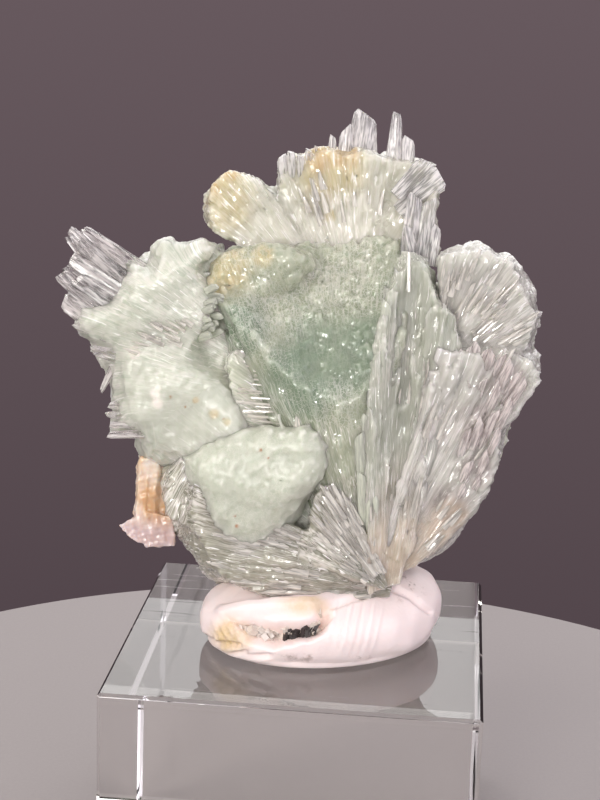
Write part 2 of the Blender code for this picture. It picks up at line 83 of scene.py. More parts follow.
def add_node(tree, kind, inputs=None, out=0, **settings):
    """Adds a node with its settings, whose inputs are given as values or as the outputs that feed them, and
    hands back one of its own outputs. A Mix node takes its share at 0, its vectors at 4 and 5 and its
    colours at 6 and 7, and gives them at 1 and 2."""
    made = tree.nodes.new("ShaderNode" + kind)
    for key, value in settings.items():
        setattr(made, key, value)
    for key, value in (inputs or {}).items():
        if isinstance(value, bpy.types.NodeSocket):
            tree.links.new(value, made.inputs[key])
        else:
            made.inputs[key].default_value = value
    return made.outputs[out] if made.outputs else None


def softbox(name, place, size, power, tint):
    """A soft studio light that looks at the specimen's middle."""
    light = bpy.data.lights.new(name, "AREA")
    light.shape = "RECTANGLE"
    light.size, light.size_y = size[0] * MM, size[1] * MM
    light.energy = power
    light.color = colour(tint)[:3]
    lamp = bpy.data.objects.new(name, light)
    bpy.context.scene.collection.objects.link(lamp)
    place = Vector(place) * MM
    aim = (place - Vector((0, 0, 50 * MM))).to_track_quat("Z", "Y").to_matrix().to_4x4()
    lamp.matrix_world = Matrix.Translation(place) @ aim
    return lamp


softbox("key_light", (-230, -190, 200), (90, 90), 0.32, "#FDF9F1")
softbox("fill_light", (260, -120, 130), (300, 300), 0.3, "#F8F4FF")
softbox("back_light", (0, 260, 260), (520, 260), 0.72, "#FBFDFB")
softbox("top_light", (0, -20, 360), (360, 360), 0.14, "#FFFFFF")
front_light = softbox("front_light", (-40, -330, 110), (70, 70), 0.56, "#FBFBF6")
# It would show as a white patch through the block
front_light.visible_transmission = False

# The room is a dim warm grey behind the specimen, and pale above and in front of it, as glossy faces show
world = bpy.data.worlds.new("studio")
bpy.context.scene.world = world
world.use_nodes = True
world.node_tree.nodes.clear()
add = partial(add_node, world.node_tree)
direction = add("TexCoord", out="Generated")
height = add("SeparateXYZ", {0: direction}, out="Z")
depth = add("SeparateXYZ", {0: direction}, out="Y")
fade = add("MapRange", {"Value": height, "From Min": -0.45, "From Max": 0.0})
backdrop = add("Mix", {0: fade, 6: colour("#4E4247"), 7: colour("#685A5F")}, out=2, data_type="RGBA")
ceiling = add("MapRange", {"Value": height, "From Min": 0.06, "From Max": 0.5})
front = add("MapRange", {"Value": depth, "From Min": -0.1, "From Max": -0.6, "To Max": 0.8})
lit = add("Math", {0: ceiling, 1: front}, operation="MAXIMUM")
backdrop = add("Mix", {0: lit, 6: backdrop, 7: colour("#CFC8CB")}, out=2, data_type="RGBA")
add("OutputWorld", {"Surface": add("Background", {"Color": backdrop, "Strength": 1.0})})


# Floor
# A round board that the block stands on, painted matt and pale. It lies loose under the block and only
# catches its shadow and its light.
def new_object(name, mesh, material=None):
    """An object in the scene with this mesh and material."""
    made = bpy.data.objects.new(name, mesh)
    bpy.context.scene.collection.objects.link(made)
    if material:
        mesh.materials.append(material)
    return made


def new_material(name):
    """An empty material, and what adds a node to it."""
    made = bpy.data.materials.new(name)
    made.use_nodes = True
    made.node_tree.nodes.clear()
    return made, partial(add_node, made.node_tree)


FLOOR_RADIUS = 80.0
FLOOR_TOP, FLOOR_UNDER = -0.1, -3
FLOOR_SIDES = 128
floor_mesh = bpy.data.meshes.new("floor")
ring = [(math.cos(turn) * FLOOR_RADIUS * MM, math.sin(turn) * FLOOR_RADIUS * MM)
        for turn in np.linspace(0, 2 * math.pi, FLOOR_SIDES, endpoint=False)]
rim = [(x, y, height * MM) for height in (FLOOR_TOP, FLOOR_UNDER) for x, y in ring]
lids = [list(range(FLOOR_SIDES)), list(range(2 * FLOOR_SIDES - 1, FLOOR_SIDES - 1, -1))]
sides = [(i, i + FLOOR_SIDES, (i + 1) % FLOOR_SIDES + FLOOR_SIDES, (i + 1) % FLOOR_SIDES)
         for i in range(FLOOR_SIDES)]
floor_mesh.from_pydata(rim, [], lids + sides)
# Matt paint: a quiet grey with no shine, barely cloudy
floor_board, add = new_material("matt_white_board")
cloud = add("TexNoise", {"Scale": 400.0, "Detail": 3.0})
tone = add("Mix", {0: cloud, 6: colour("#979090"), 7: colour("#9F9897")}, out=2, data_type="RGBA")
shader = add("BsdfPrincipled", {"Base Color": tone, "Roughness": 0.7})
add("OutputMaterial", {"Surface": shader})
floor = new_object("floor", floor_mesh, floor_board)


# Acrylic block
# The block the specimen stands on, cast acrylic sawn square and flame-polished. It is clear as water and
# bends what is behind it, and fine scratches break up its shine.

# Clear acrylic: bright edges, a bent view through it and a few dull lines in its shine
acrylic, add = new_material("cast_acrylic")
where = add("TexCoord", out="Object")
stretched = add("Mapping", {"Vector": where, "Rotation": (0, 0, 0.5), "Scale": (90, 1500, 90)})
scratches = add("TexNoise", {"Vector": stretched, "Scale": 1.0, "Detail": 4.0})
fine = add("MapRange", {"Value": scratches, "From Min": 0.62, "From Max": 0.75})
rough = add("MapRange", {"Value": fine, "To Min": 0.015, "To Max": 0.09})
lines = add("Bump", {"Height": fine, "Strength": 0.15, "Distance": 0.02 * MM})
shader = add("BsdfPrincipled", {"Base Color": colour("#F7F5F3"), "Roughness": rough, "IOR": 1.49,
                                "Transmission Weight": 1.0, "Normal": lines})
add("OutputMaterial", {"Surface": shader})
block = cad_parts["acrylic_block"]
block.data.materials.clear()
block.data.materials.append(acrylic)


# Aragonite: the large fan in the middle
# Thin blades of aragonite, packed side by side, that grew from one root low on the right and face the
# viewer in a wide fan. The smooth nose at its upper left and the floor of the gap under it grew with it.

# One run of chance shapes every crystal, so that the part comes out the same each time
chance = np.random.default_rng(3)


def on_line(points, share):
    """Places at these shares of the way along a smooth curve through points."""
    points = np.array(points, float)
    reach = np.asarray(share, float) * (len(points) - 1)
    i = np.clip(reach.astype(int), 0, len(points) - 2)
    t = (reach - i)[..., None]
    held = np.vstack([2 * points[0] - points[1], points, 2 * points[-1] - points[-2]])
    a, b, c, d = (held[i + k] for k in range(4))
    return 0.5 * (2 * b + (c - a) * t + (2 * a - 5 * b + 4 * c - d) * t**2 + (3 * b - a - 3 * c + d) * t**3)


def unit(ways):
    """Ways brought to a length of 1."""
    return ways / np.maximum(np.linalg.norm(ways, axis=-1, keepdims=True), 1e-9)


def lumps(places, size, seed):
    """Smooth noise from about -1 to 1, from a few waves of this size in turned directions."""
    waves = np.random.default_rng(seed)
    total = np.zeros(len(places))
    for wave in range(9):
        way = unit(waves.normal(size=3))
        turns = 2 * math.pi / (size * waves.uniform(0.7, 1.5))
        total += np.sin(places @ way * turns + waves.uniform(0, 6.3))
    return total / 3.5


def fibre_ends(sheaf, s, t):
    """The roots and tips of fibres at s along a sheaf and t from its rear to its front."""
    rear, front = on_line(sheaf["rear"], s), on_line(sheaf["front"], s)
    start, end = np.array(sheaf["root"])
    half = np.array(0.5)
    forward = unit(on_line(sheaf["front"], half) - on_line(sheaf["rear"], half))
    root = start + (end - start) * s[:, None] + forward * ((t - 0.5) * sheaf["waist"])[:, None]
    tip = rear + (front - rear) * t[:, None]
    tip = tip + unit(tip - root) * (sheaf.get("bulge", 0) * 4 * t * (1 - t))[:, None]
    return root, tip + unit(tip - root) * (lumps(tip, 4.5, 1) * 0.4)[:, None]


def rods(root, tip, width, thick, taper, slope, sides=4, across=None):
    """Straight crystals with slanted ends, as corners and faces. Taper is their width at the root as a
    share of that at the tip, and slope how far an end slants as a share of the width."""
    count = len(root)
    axis = unit(tip - root)
    length = np.linalg.norm(tip - root, axis=1)
    width, thick = np.broadcast_to(width, count), np.broadcast_to(thick, count)
    aside = unit(np.cross(axis, chance.normal(size=(count, 3)) if across is None else across))
    facing = np.cross(axis, aside)
    turn = (np.arange(sides) + 0.5 * (sides == 4)) * 2 * math.pi / sides
    ring = np.stack([np.cos(turn), np.sin(turn)], axis=1) * (math.sqrt(2) if sides == 4 else 1)
    lean = chance.uniform(-slope, slope, (count, 2)) * width[:, None]
    most = np.abs(lean).sum(axis=1)[:, None]
    drop = ring[None, :, 0] * lean[:, :1] + ring[None, :, 1] * lean[:, 1:] - most
    corners = []
    for along, grow, leant in ((0 * length, taper, 0), (length, 1, 1)):
        u = ring[None, :, 0] * (width / 2 * grow)[:, None]
        v = ring[None, :, 1] * (thick / 2 * grow)[:, None]
        high = along[:, None] + leant * drop
        corners.append(root[:, None] + axis[:, None] * high[..., None] + aside[:, None] * u[..., None]
                       + facing[:, None] * v[..., None])
    k = np.arange(sides)
    after = (k + 1) % sides
    walls = np.stack([k, after, sides + after, sides + k], axis=1)
    lid = np.array([(0, 1, 2, 3), (0, 3, 4, 5)][:sides // 2 - 1])
    faces = np.concatenate([walls, lid[:, ::-1], lid + sides])
    base = (np.arange(count) * sides * 2)[:, None, None]
    return np.concatenate(corners, axis=1).reshape(-1, 3), (base + faces[None]).reshape(-1, 4)


def sheaf_grid(sheaf, pitch):
    """Even but shaken places s, t for fibres about pitch apart at the tips of a sheaf."""
    shares = np.linspace(0, 1, 40)
    middle = (on_line(sheaf["rear"], shares) + on_line(sheaf["front"], shares)) / 2
    wide = np.linalg.norm(np.diff(middle, axis=0), axis=1).sum()
    deep = np.linalg.norm(on_line(sheaf["rear"], shares) - on_line(sheaf["front"], shares), axis=1).mean()
    columns, rows = max(2, round(wide / pitch)), max(2, round(deep / pitch))
    s, t = np.meshgrid((np.arange(columns) + 0.5) / columns, (np.arange(rows) + 0.5) / rows, indexing="ij")
    s = s.ravel() + chance.uniform(-0.5, 0.5, s.size) / columns
    t = t.ravel() + chance.uniform(-0.5, 0.5, t.size) / rows
    return s, t


def heart_of(sheaf, depth):
    """The closed milky core of a sheaf, which stops this far below the tips, as corners and faces."""
    columns, rows, rings = 48, 20, 16
    s, t = np.meshgrid(np.linspace(0.02, 0.98, columns + 1), np.linspace(0.04, 0.96, rows + 1),
                       indexing="ij")
    root, tip = fibre_ends(sheaf, s.ravel(), t.ravel())
    top = tip - unit(tip - root) * depth
    grid = np.arange(len(top)).reshape(columns + 1, rows + 1)
    edge = np.concatenate([grid[:, 0], grid[-1, 1:], grid[-2::-1, -1], grid[0, -2:0:-1]])
    after = np.roll(np.arange(len(edge)), -1)
    share = np.linspace(1, 0, rings + 1)[1:-1]
    walls = root[edge] + (top - root)[edge] * share[:, None, None]
    verts = np.concatenate([top, walls.reshape(-1, 3), root])
    loops = [edge] + [len(top) + i * len(edge) + np.arange(len(edge)) for i in range(rings - 1)]
    loops.append(len(verts) - len(top) + edge)
    sides = [np.stack([high[after], high, low, low[after]], axis=1) for high, low in zip(loops, loops[1:])]
    a, b, c, d = (part.ravel() for part in (grid[:-1, :-1], grid[1:, :-1], grid[1:, 1:], grid[:-1, 1:]))
    lid = np.stack([a, b, c, d], axis=1)
    faces = np.concatenate([lid[:, ::-1], lid + len(verts) - len(top)] + sides)
    return verts, faces


def tip_grains(sheaf, pitch=0.5, tuft=1.6, step=0.3, rough=0.1, flat=0.6):
    """The grainy skin over a sheaf's tips: short crystals side by side, in tufts that lean each its own
    way. Rough is how far single tips stand back, and step how far whole tufts of them do, in mm."""
    tilt, long, wide = 0.03, 2.0, 1.3
    s, t = sheaf_grid(sheaf, pitch)
    root, tip = fibre_ends(sheaf, s, t)
    count = max(3, len(tip) * pitch**2 // tuft**2)
    middles = tip[chance.choice(len(tip), int(count), replace=False)]
    own = ((tip[:, None] - middles[None]) ** 2).sum(axis=-1).argmin(axis=1)
    lean, back = chance.normal(size=middles.shape) * tilt, chance.uniform(0, step, len(middles))
    face = chance.normal(size=middles.shape)
    way = unit(tip - root)
    base = tip - way * long
    way = unit(way + lean[own] + chance.normal(size=tip.shape) * tilt * 0.4)
    end = base + way * (long - back[own] - chance.uniform(0, rough, len(s)))[:, None]
    width = pitch * wide * chance.uniform(0.7, 1.5, len(s))
    return rods(base, end, width, width * flat * chance.uniform(0.7, 1.4, len(s)), taper=0.8, slope=0.15,
                across=face[own] + chance.normal(size=tip.shape) * 0.4)


def flank_blades(sheaf, count, width=(0.4, 1.2), reach=(0.08, 0.35), lift=(-0.25, 0.02)):
    """Flat blades that lie along the flanks of a sheaf, front, end, rear and start, and end at different
    heights in steps. Reach is their length as a share of the fibres, and lift how far out they stand."""
    along = chance.uniform(0, 1, count)
    flank = chance.choice(4, count, p=(0.6, 0.1, 0.2, 0.1))
    s = np.choose(flank, [along, 1 + 0 * along, along, 0 * along])
    t = np.choose(flank, [1 + 0 * along, along, 0 * along, along])
    root, tip = fibre_ends(sheaf, s, t)
    inner_tip = fibre_ends(sheaf, 0.5 + (s - 0.5) * 0.9, 0.5 + (t - 0.5) * 0.7)[1]
    axis = unit(tip - root)
    out = unit((tip - inner_tip) - axis * ((tip - inner_tip) * axis).sum(axis=1)[:, None])
    low = chance.uniform(0.1, 0.85, count)
    high = np.minimum(low + chance.uniform(*reach, count), 1.0)
    rise = out * chance.uniform(*lift, count)[:, None]
    length = np.linalg.norm(tip - root, axis=1)[:, None]
    stray = chance.normal(size=(count, 3)) * 0.01 * length
    wide = chance.uniform(*width, count) * (0.4 + 0.6 * high)
    low_end = root + (tip - root) * low[:, None] + rise * 0.3
    high_end = root + (tip - root) * high[:, None] + rise + stray
    return rods(low_end, high_end, wide, wide * 0.35, taper=0.6, slope=0.6,
                across=out + chance.normal(size=out.shape) * 0.25)


def set_values(mesh, name, values):
    """Gives each place of a mesh a value, or a vector, that its material reads."""
    values = np.asarray(values, np.float32)
    kind, key = ("FLOAT", "value") if values.ndim == 1 else ("FLOAT_VECTOR", "vector")
    mesh.attributes.new(name, kind, "POINT").data.foreach_set(key, values.ravel())


def blobs(places, spots):
    """How far each place lies within soft spots, given as a place and a radius, from 0 to 1. A spot reaches
    3 mm in and out, as seen from the front."""
    mask = np.zeros(len(places))
    for place, radius in spots:
        away = places - np.array(place)
        deep = away @ np.array(ahead)
        wide = np.linalg.norm(away - deep[:, None] * np.array(ahead), axis=1) / radius
        mask = np.maximum(mask, np.clip(1.5 - np.maximum(wide, np.abs(deep) / 3), 0, 1))
    return mask * mask * (3 - 2 * mask)


def spots(*rows):
    """Spots for blobs, from rows of a pixel, a depth and a radius."""
    return [(seen(*row[:3]), row[3]) for row in rows]


def smoothed(verts, edges, steps, strength):
    """Vertices drawn towards the mean of their neighbours."""
    count = np.bincount(edges.ravel(), minlength=len(verts))[:, None]
    for step in range(steps):
        total = np.zeros(verts.shape)
        for axis in range(3):
            for here, there in (edges.T, edges.T[::-1]):
                total[:, axis] += np.bincount(here, verts[there, axis], len(verts))
        verts = verts + (total / count - verts) * strength
    return verts


def fused(name, parts, voxel):
    """Closed parts that overlap, given as corners and faces, joined into one skin: its mesh, places and
    edges."""
    base = np.cumsum([0] + [len(corners) for corners, faces in parts])
    draft_mesh = bpy.data.meshes.new(name + "_draft")
    places = np.concatenate([corners for corners, faces in parts]) * MM
    faces = np.concatenate([faces + start for (corners, faces), start in zip(parts, base)])
    draft_mesh.from_pydata(places.tolist(), [], faces.tolist())
    draft = new_object(name + "_draft", draft_mesh)
    skin = draft.modifiers.new("skin", "REMESH")
    skin.mode = "VOXEL"
    skin.voxel_size = voxel * MM
    mesh = bpy.data.meshes.new_from_object(draft.evaluated_get(bpy.context.evaluated_depsgraph_get()))
    bpy.data.objects.remove(draft)
    mesh.name = name
    places, edges = np.empty(len(mesh.vertices) * 3), np.empty(len(mesh.edges) * 2, int)
    mesh.vertices.foreach_get("co", places)
    mesh.edges.foreach_get("vertices", edges)
    return mesh, places.reshape(-1, 3) / MM, edges.reshape(-1, 2)


def moved(mesh, places):
    """Sets a mesh's places, in mm, and gives its outward ways there."""
    mesh.vertices.foreach_set("co", (places * MM).ravel())
    mesh.update()
    ways = np.empty(places.size)
    mesh.vertices.foreach_get("normal", ways)
    return ways.reshape(-1, 3)


def fibre_place(sheaf, s, t, reach):
    """Places on fibres, this share of the way from their roots to their tips."""
    root, tip = fibre_ends(sheaf, s, t)
    return root + (tip - root) * reach[:, None]


def fibres_at(sheaves, places):
    """Where places lie in the nearest sheaf: across it, from its rear to its front and along its fibres, in
    mm, and the share of the way to the tips."""
    s, t, reach = (part.ravel() for part in np.meshgrid(
        np.linspace(0, 1, 36), np.linspace(0, 1, 7), np.linspace(0.1, 1, 12), indexing="ij"))
    near = kdtree.KDTree(len(s) * len(sheaves))
    for k, sheaf in enumerate(sheaves):
        for i, place in enumerate(fibre_place(sheaf, s, t, reach)):
            near.insert(place, k * len(s) + i)
    near.balance()
    nearest = np.array([near.find(place)[1] for place in places])
    fibre, share = np.zeros((len(places), 3)), np.zeros(len(places))
    for k, sheaf in enumerate(sheaves):
        own = nearest // len(s) == k
        i = nearest[own] % len(s)
        found = np.stack([s[i], t[i], reach[i]], axis=1)
        for step in range(2):
            at = fibre_place(sheaf, *found.T)
            slopes = np.stack([(fibre_place(sheaf, *(found + nudge).T) - at) / 0.01
                               for nudge in np.eye(3) * 0.01], axis=2)
            slopes = slopes + np.eye(3) * 0.3
            gap = np.linalg.solve(slopes, (places[own] - at)[..., None])[..., 0]
            found = np.clip(found + gap, (0, 0, 0.02), (1, 1, 1.1))
        wide = np.linalg.norm(np.diff(on_line(sheaf["front"], np.linspace(0, 1, 30)), axis=0), axis=1).sum()
        root, tip = fibre_ends(sheaf, found[:, 0], found[:, 1])
        long = np.linalg.norm(tip - root, axis=1).mean()
        fibre[own] = found * (wide, 4.0, long) + 40.0 * k
        share[own] = found[:, 2]
    return fibre, np.clip(share, 0, 1)


def skinned(name, mesh, verts, edges, fibre, reach, material, marks=None, soften=1):
    """Finishes a fused skin, with the values its material reads: the fibre coordinates, reach from root to
    tip, crest from grooves to ridges, and its marks, each a name with the spots it covers. Its deeper
    grooves are grown over, and it is gently uneven."""
    verts = smoothed(verts, edges, soften, 0.4)
    ways = moved(mesh, verts)
    sunk = np.maximum(((smoothed(verts, edges, 30, 0.6) - verts) * ways).sum(axis=1), 0)
    uneven = 0.9 * sunk
    for high, wide, seed in ((0.22, 9.0, 21), (0.06, 2.6, 22), (0.04, 1.1, 23)):
        uneven = uneven + high * lumps(verts, wide, seed)
    verts = verts + ways * uneven[:, None]
    ways = moved(mesh, verts)
    crest = ((verts - smoothed(verts, edges, 12, 0.6)) * ways).sum(axis=1)
    set_values(mesh, "crest", np.clip(0.5 + crest / 0.3, 0, 1))
    set_values(mesh, "reach", reach)
    set_values(mesh, "fibre", fibre)
    for mark, spots in (marks or {}).items():
        set_values(mesh, mark, blobs(verts, spots))
    mesh.shade_smooth()
    return dressed(new_object(name, mesh, material), "aragonite_cluster")


def grown(name, sheaves, grains, blades, material, voxel=0.2, depth=0.9, marks=None, soften=1, extra=()):
    """Sheaves of crystals, and extra parts between them, grown together into one skin. Depth is how far the
    tips stand out of their core, and voxel how fine the skin is, in mm."""
    parts = list(extra)
    for sheaf in sheaves:
        parts += [heart_of(sheaf, depth), tip_grains(sheaf, **grains), flank_blades(sheaf, **blades)]
    mesh, verts, edges = fused(name, parts, voxel)
    fibre, reach = fibres_at(sheaves, verts)
    return skinned(name, mesh, verts, edges, fibre, reach, material, marks, soften)


def pixels_of(places):
    """The frame's u and v of places in mm."""
    way = places - np.array(EYE)
    across, up = (LENS * (way @ np.array(side)) / (way @ np.array(ahead)) for side in (right_way, up_way))
    return MIDDLE_U + across, MIDDLE_V - up


def near_line(u, v, line):
    """How far pixels lie from a line of pixels."""
    place = np.stack([u, v], axis=-1)
    away = []
    for a, b in zip(np.array(line, float), np.array(line[1:], float)):
        share = np.clip(((place - a) @ (b - a)) / ((b - a) @ (b - a)), 0, 1)
        away.append(np.linalg.norm(place - a - share[:, None] * (b - a), axis=1))
    return np.min(away, axis=0)


def faded(value, full, none):
    """1 up to full and 0 from none on, with a soft step between."""
    share = np.clip((none - value) / (none - full), 0, 1)
    return share * share * (3 - 2 * share)


def inward(u, v, outline):
    """How far pixels lie inside a closed outline of pixels, below 0 outside of it."""
    line = np.array(outline, float)
    turned = np.roll(line, -1, axis=0) - line
    place = np.stack([u, v], axis=-1)[..., None, :]
    share = np.clip(((place - line) * turned).sum(axis=-1) / (turned**2).sum(axis=-1), 0, 1)
    away = np.linalg.norm(place - line - turned * share[..., None], axis=-1).min(axis=-1)
    crossed = ((line[:, 1] > place[..., 1]) != (np.roll(line, -1, axis=0)[:, 1] > place[..., 1])) & (
        place[..., 0] < turned[:, 0] * (place[..., 1] - line[:, 1]) / (turned[:, 1] + 1e-9) + line[:, 0])
    return np.where(crossed.sum(axis=-1) % 2 == 1, away, -away)


def pillow(outline, middle, front, back, edge, uneven=0.45, swells=()):
    """A slab with this outline in pixels of the frame: its middle plane lies at this depth, and it swells
    to the front and back over the edge's width. Swells are lines it rises along, each with how wide and how
    high. It comes as its smooth body and the grains that cover its front."""
    step = 2.5
    low, high = np.min(outline, axis=0) - step, np.max(outline, axis=0) + step
    u, v = np.meshgrid(np.arange(low[0], high[0], step), np.arange(low[1], high[1], step), indexing="ij")
    level = np.stack([u.ravel(), v.ravel(), 0 * u.ravel()], axis=1)
    ragged = (1.6 * lumps(level, 34, 6) + 1.2 * lumps(level, 13, 7)).reshape(u.shape)
    away = inward(u, v, outline) + ragged
    front = front + sum((rise * faded(near_line(u.ravel(), v.ravel(), line), wide * 0.25, wide)
                         for line, wide, rise in swells), np.zeros(u.size)).reshape(u.shape)
    inside = away > 0
    deep = (1 - (1 - np.clip(away / edge, 0, 1)) ** 2) ** 0.5
    face = np.array([seen(*spot) for spot in zip(u.ravel(), v.ravel(), (middle - front * deep).ravel())])
    face[:, 1] += deep.ravel() * uneven * lumps(face, 9.0, len(outline))
    face = face.reshape(*u.shape, 3)
    rear = face + np.array((0, 1, 0)) * (deep * (front + back))[..., None]
    index = np.arange(u.size).reshape(u.shape)
    a, b, c, d = index[:-1, :-1], index[1:, :-1], index[1:, 1:], index[:-1, 1:]
    keep = inside[:-1, :-1] | inside[1:, :-1] | inside[1:, 1:] | inside[:-1, 1:]
    quads = np.stack([part[keep] for part in (a, b, c, d)], axis=1)
    verts = np.concatenate([face.reshape(-1, 3), rear.reshape(-1, 3)])
    used, quads = np.unique(np.concatenate([quads, quads[:, ::-1] + u.size]), return_inverse=True)
    out = unit(np.cross(np.gradient(face, axis=0), np.gradient(face, axis=1)))
    out = out * np.sign(-out[..., 1:2] + 1e-6)
    pick = inside & (deep > 0.45)
    place = np.repeat(face[pick], 2, axis=0) + chance.uniform(-0.2, 0.2, (2 * pick.sum(), 3))
    way = np.repeat(out[pick], 2, axis=0)
    place = place + way * (0.03 * lumps(place, 3.0, 4))[:, None]
    wide = chance.uniform(0.35, 0.6, len(place))
    tips = place + way * chance.uniform(-0.04, 0.07, (len(place), 1))
    tips = tips + chance.normal(size=place.shape) * 0.06
    grains = rods(place - way * 1.5, tips, wide, wide * 0.7, taper=0.9, slope=0.12)
    return [(verts[used], quads.reshape(-1, 4)), grains]


def dressed(piece, node):
    """Puts a piece in its node's place."""
    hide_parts(node)
    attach(piece, "root")
    return piece


def milky_aragonite(name, root_tone, tip_tone, dark_and_groove_shade_tone, stains=None, cell=(2.0, 1.4, 0.4), grainy=False,
                    streaky=0.5, mosaic=0.35, facets=0.8, fade=0.75, wet=1.0, polish=0.08):
    """Aragonite grown milky from the root of a sheaf, under a clear glossy skin. Its crystals are too fine
    to model, so they show as cells, this many to a millimetre across, through and along the fibres, or
    grains in no direction: mosaic is how much their tone and their pale edges, which are painted
    highlights, show, facets how far their faces tilt, and streaky how much the fibres show, as dark streaks
    and as bright lines and white dashes that are painted highlights and glints. The grooves take the dark
    tone as painted shade and the crests turn pale as painted highlights. Stains are the tones of marks on
    it, and some marks are painted light. The skin has about the index of aragonite itself."""
    made, add = new_material(name)
    where = add("TexCoord", out="Object")
    outward = add("NewGeometry", out="Normal")
    reach, crest = (add("Attribute", out="Fac", attribute_name=value) for value in ("reach", "crest"))
    fibre = add("Attribute", out="Vector", attribute_name="fibre")
    fine = add("Mapping", {"Vector": fibre, "Scale": (2.2, 1.4, 0.13)})
    fine = add("TexNoise", {"Vector": fine, "Scale": 1.0, "Detail": 2.0, "Roughness": 0.6})
    broad = add("Mapping", {"Vector": fibre, "Scale": (1.3, 0.9, 0.3)})
    broad = add("TexNoise", {"Vector": broad, "Scale": 1.0, "Detail": 2.0})
    cloud = add("TexNoise", {"Vector": where, "Scale": 150.0, "Detail": 4.0})
    drift = add("TexNoise", {"Vector": where, "Scale": 130.0, "Detail": 1.0})
    patchy = add("MapRange", {"Value": drift, "From Min": 0.38, "From Max": 0.6, "To Min": 0.15})
    dashes = add("Mapping", {"Vector": fibre, "Location": (7, 3, 1), "Scale": (2.6, 2.0, 0.42)})
    dashes = add("TexNoise", {"Vector": dashes, "Scale": 1.0, "Detail": 1.0})
    place = add("Mapping", {"Vector": fibre, "Scale": cell})
    if grainy:
        grains = add("Mapping", {"Vector": where, "Scale": (2300, 2300, 2300)})
        capped = add("Math", {0: reach, 1: 0.87}, operation="GREATER_THAN")
        place = add("Mix", {0: capped, 4: place, 5: grains}, out=1, data_type="VECTOR")
    shaken = add("TexNoise", {"Vector": place, "Scale": 1.5, "Detail": 1.0}, out="Color")
    place = add("VectorMath", {0: shaken, 1: (0.9, 0.9, 0.9), 2: place}, operation="MULTIPLY_ADD")
    cells = add("TexVoronoi", {"Vector": place, "Scale": 1.0}, out="Color")
    edges = add("TexVoronoi", {"Vector": place, "Scale": 1.0}, out="Distance", feature="DISTANCE_TO_EDGE")
    tips = add("MapRange", {"Value": reach, "From Min": 0.2, "From Max": fade},
               interpolation_type="SMOOTHSTEP")
    tone = add("Mix", {0: tips, 6: colour(root_tone), 7: colour(tip_tone)}, out=2, data_type="RGBA")
    for mark, code in (stains or {}).items():
        mask = add("Attribute", out="Fac", attribute_name=mark)
        torn = add("Math", {0: cloud, 1: 1.8, 2: -0.9}, operation="MULTIPLY_ADD")
        torn = add("Math", {0: torn, 1: mask}, operation="ADD")
        torn = add("Math", {0: torn, 1: mask}, operation="MULTIPLY", use_clamp=True)
        tone = add("Mix", {0: torn, 6: tone, 7: colour(code)}, out=2, data_type="RGBA")
    # Painted shade: where the crest is low, in the grooves and between the blades, the surface turns to the
    # dark tone
    low = add("MapRange", {"Value": crest, "From Min": 0.6, "From Max": 0.15, "To Max": 0.4},
              interpolation_type="SMOOTHSTEP")
    uneven = add("SeparateColor", {0: cells})
    deeper = add("MapRange", {"Value": uneven, "From Min": 0.4, "To Max": mosaic})
    low = add("Math", {0: low, 1: deeper}, operation="MAXIMUM")
    bands = add("Math", {0: fine, 1: 0.55}, operation="MULTIPLY")
    bands = add("Math", {0: broad, 1: 0.45, 2: bands}, operation="MULTIPLY_ADD")
    dark = add("MapRange", {"Value": broad, "From Min": 0.46, "From Max": 0.34, "To Max": 0.9 * streaky})
    dark = add("Math", {0: dark, 1: patchy}, operation="MULTIPLY")
    low = add("Math", {0: low, 1: dark}, operation="MAXIMUM")
    calm = add("Attribute", out="Fac", attribute_name="calm")
    lively = add("Math", {0: calm, 1: -0.75, 2: 1.0}, operation="MULTIPLY_ADD")
    low = add("Math", {0: low, 1: lively}, operation="MULTIPLY")
    tone = add("Mix", {0: low, 6: tone, 7: colour(dark_and_groove_shade_tone)}, out=2, data_type="RGBA")
    # Painted highlights: bright lines along the fibres and pale cell edges, mixed in the pale tone #F0EBE4
    # below
    line = add("Math", {0: fine, 1: 0.5}, operation="SUBTRACT")
    line = add("Math", {0: line}, operation="ABSOLUTE")
    light = add("MapRange", {"Value": line, "From Min": 0.06, "From Max": 0.02, "To Max": 0.8 * streaky})
    painted_edge_highlights = add("MapRange", {"Value": edges, "From Min": 0.07, "From Max": 0.02, "To Max": mosaic})
    pale = add("Math", {0: light, 1: painted_edge_highlights}, operation="MAXIMUM")
    pale = add("Math", {0: pale, 1: patchy}, operation="MULTIPLY")
    # Painted highlight on the crests, which turn pale as if they caught the light
    painted_crest_highlight = add("MapRange", {"Value": crest, "From Min": 0.62, "From Max": 0.95, "To Max": 0.2})
    pale = add("Math", {0: pale, 1: painted_crest_highlight}, operation="MAXIMUM")
    pale = add("Math", {0: pale, 1: lively}, operation="MULTIPLY")
    tone = add("Mix", {0: pale, 6: tone, 7: colour("#F0EBE4")}, out=2, data_type="RGBA")
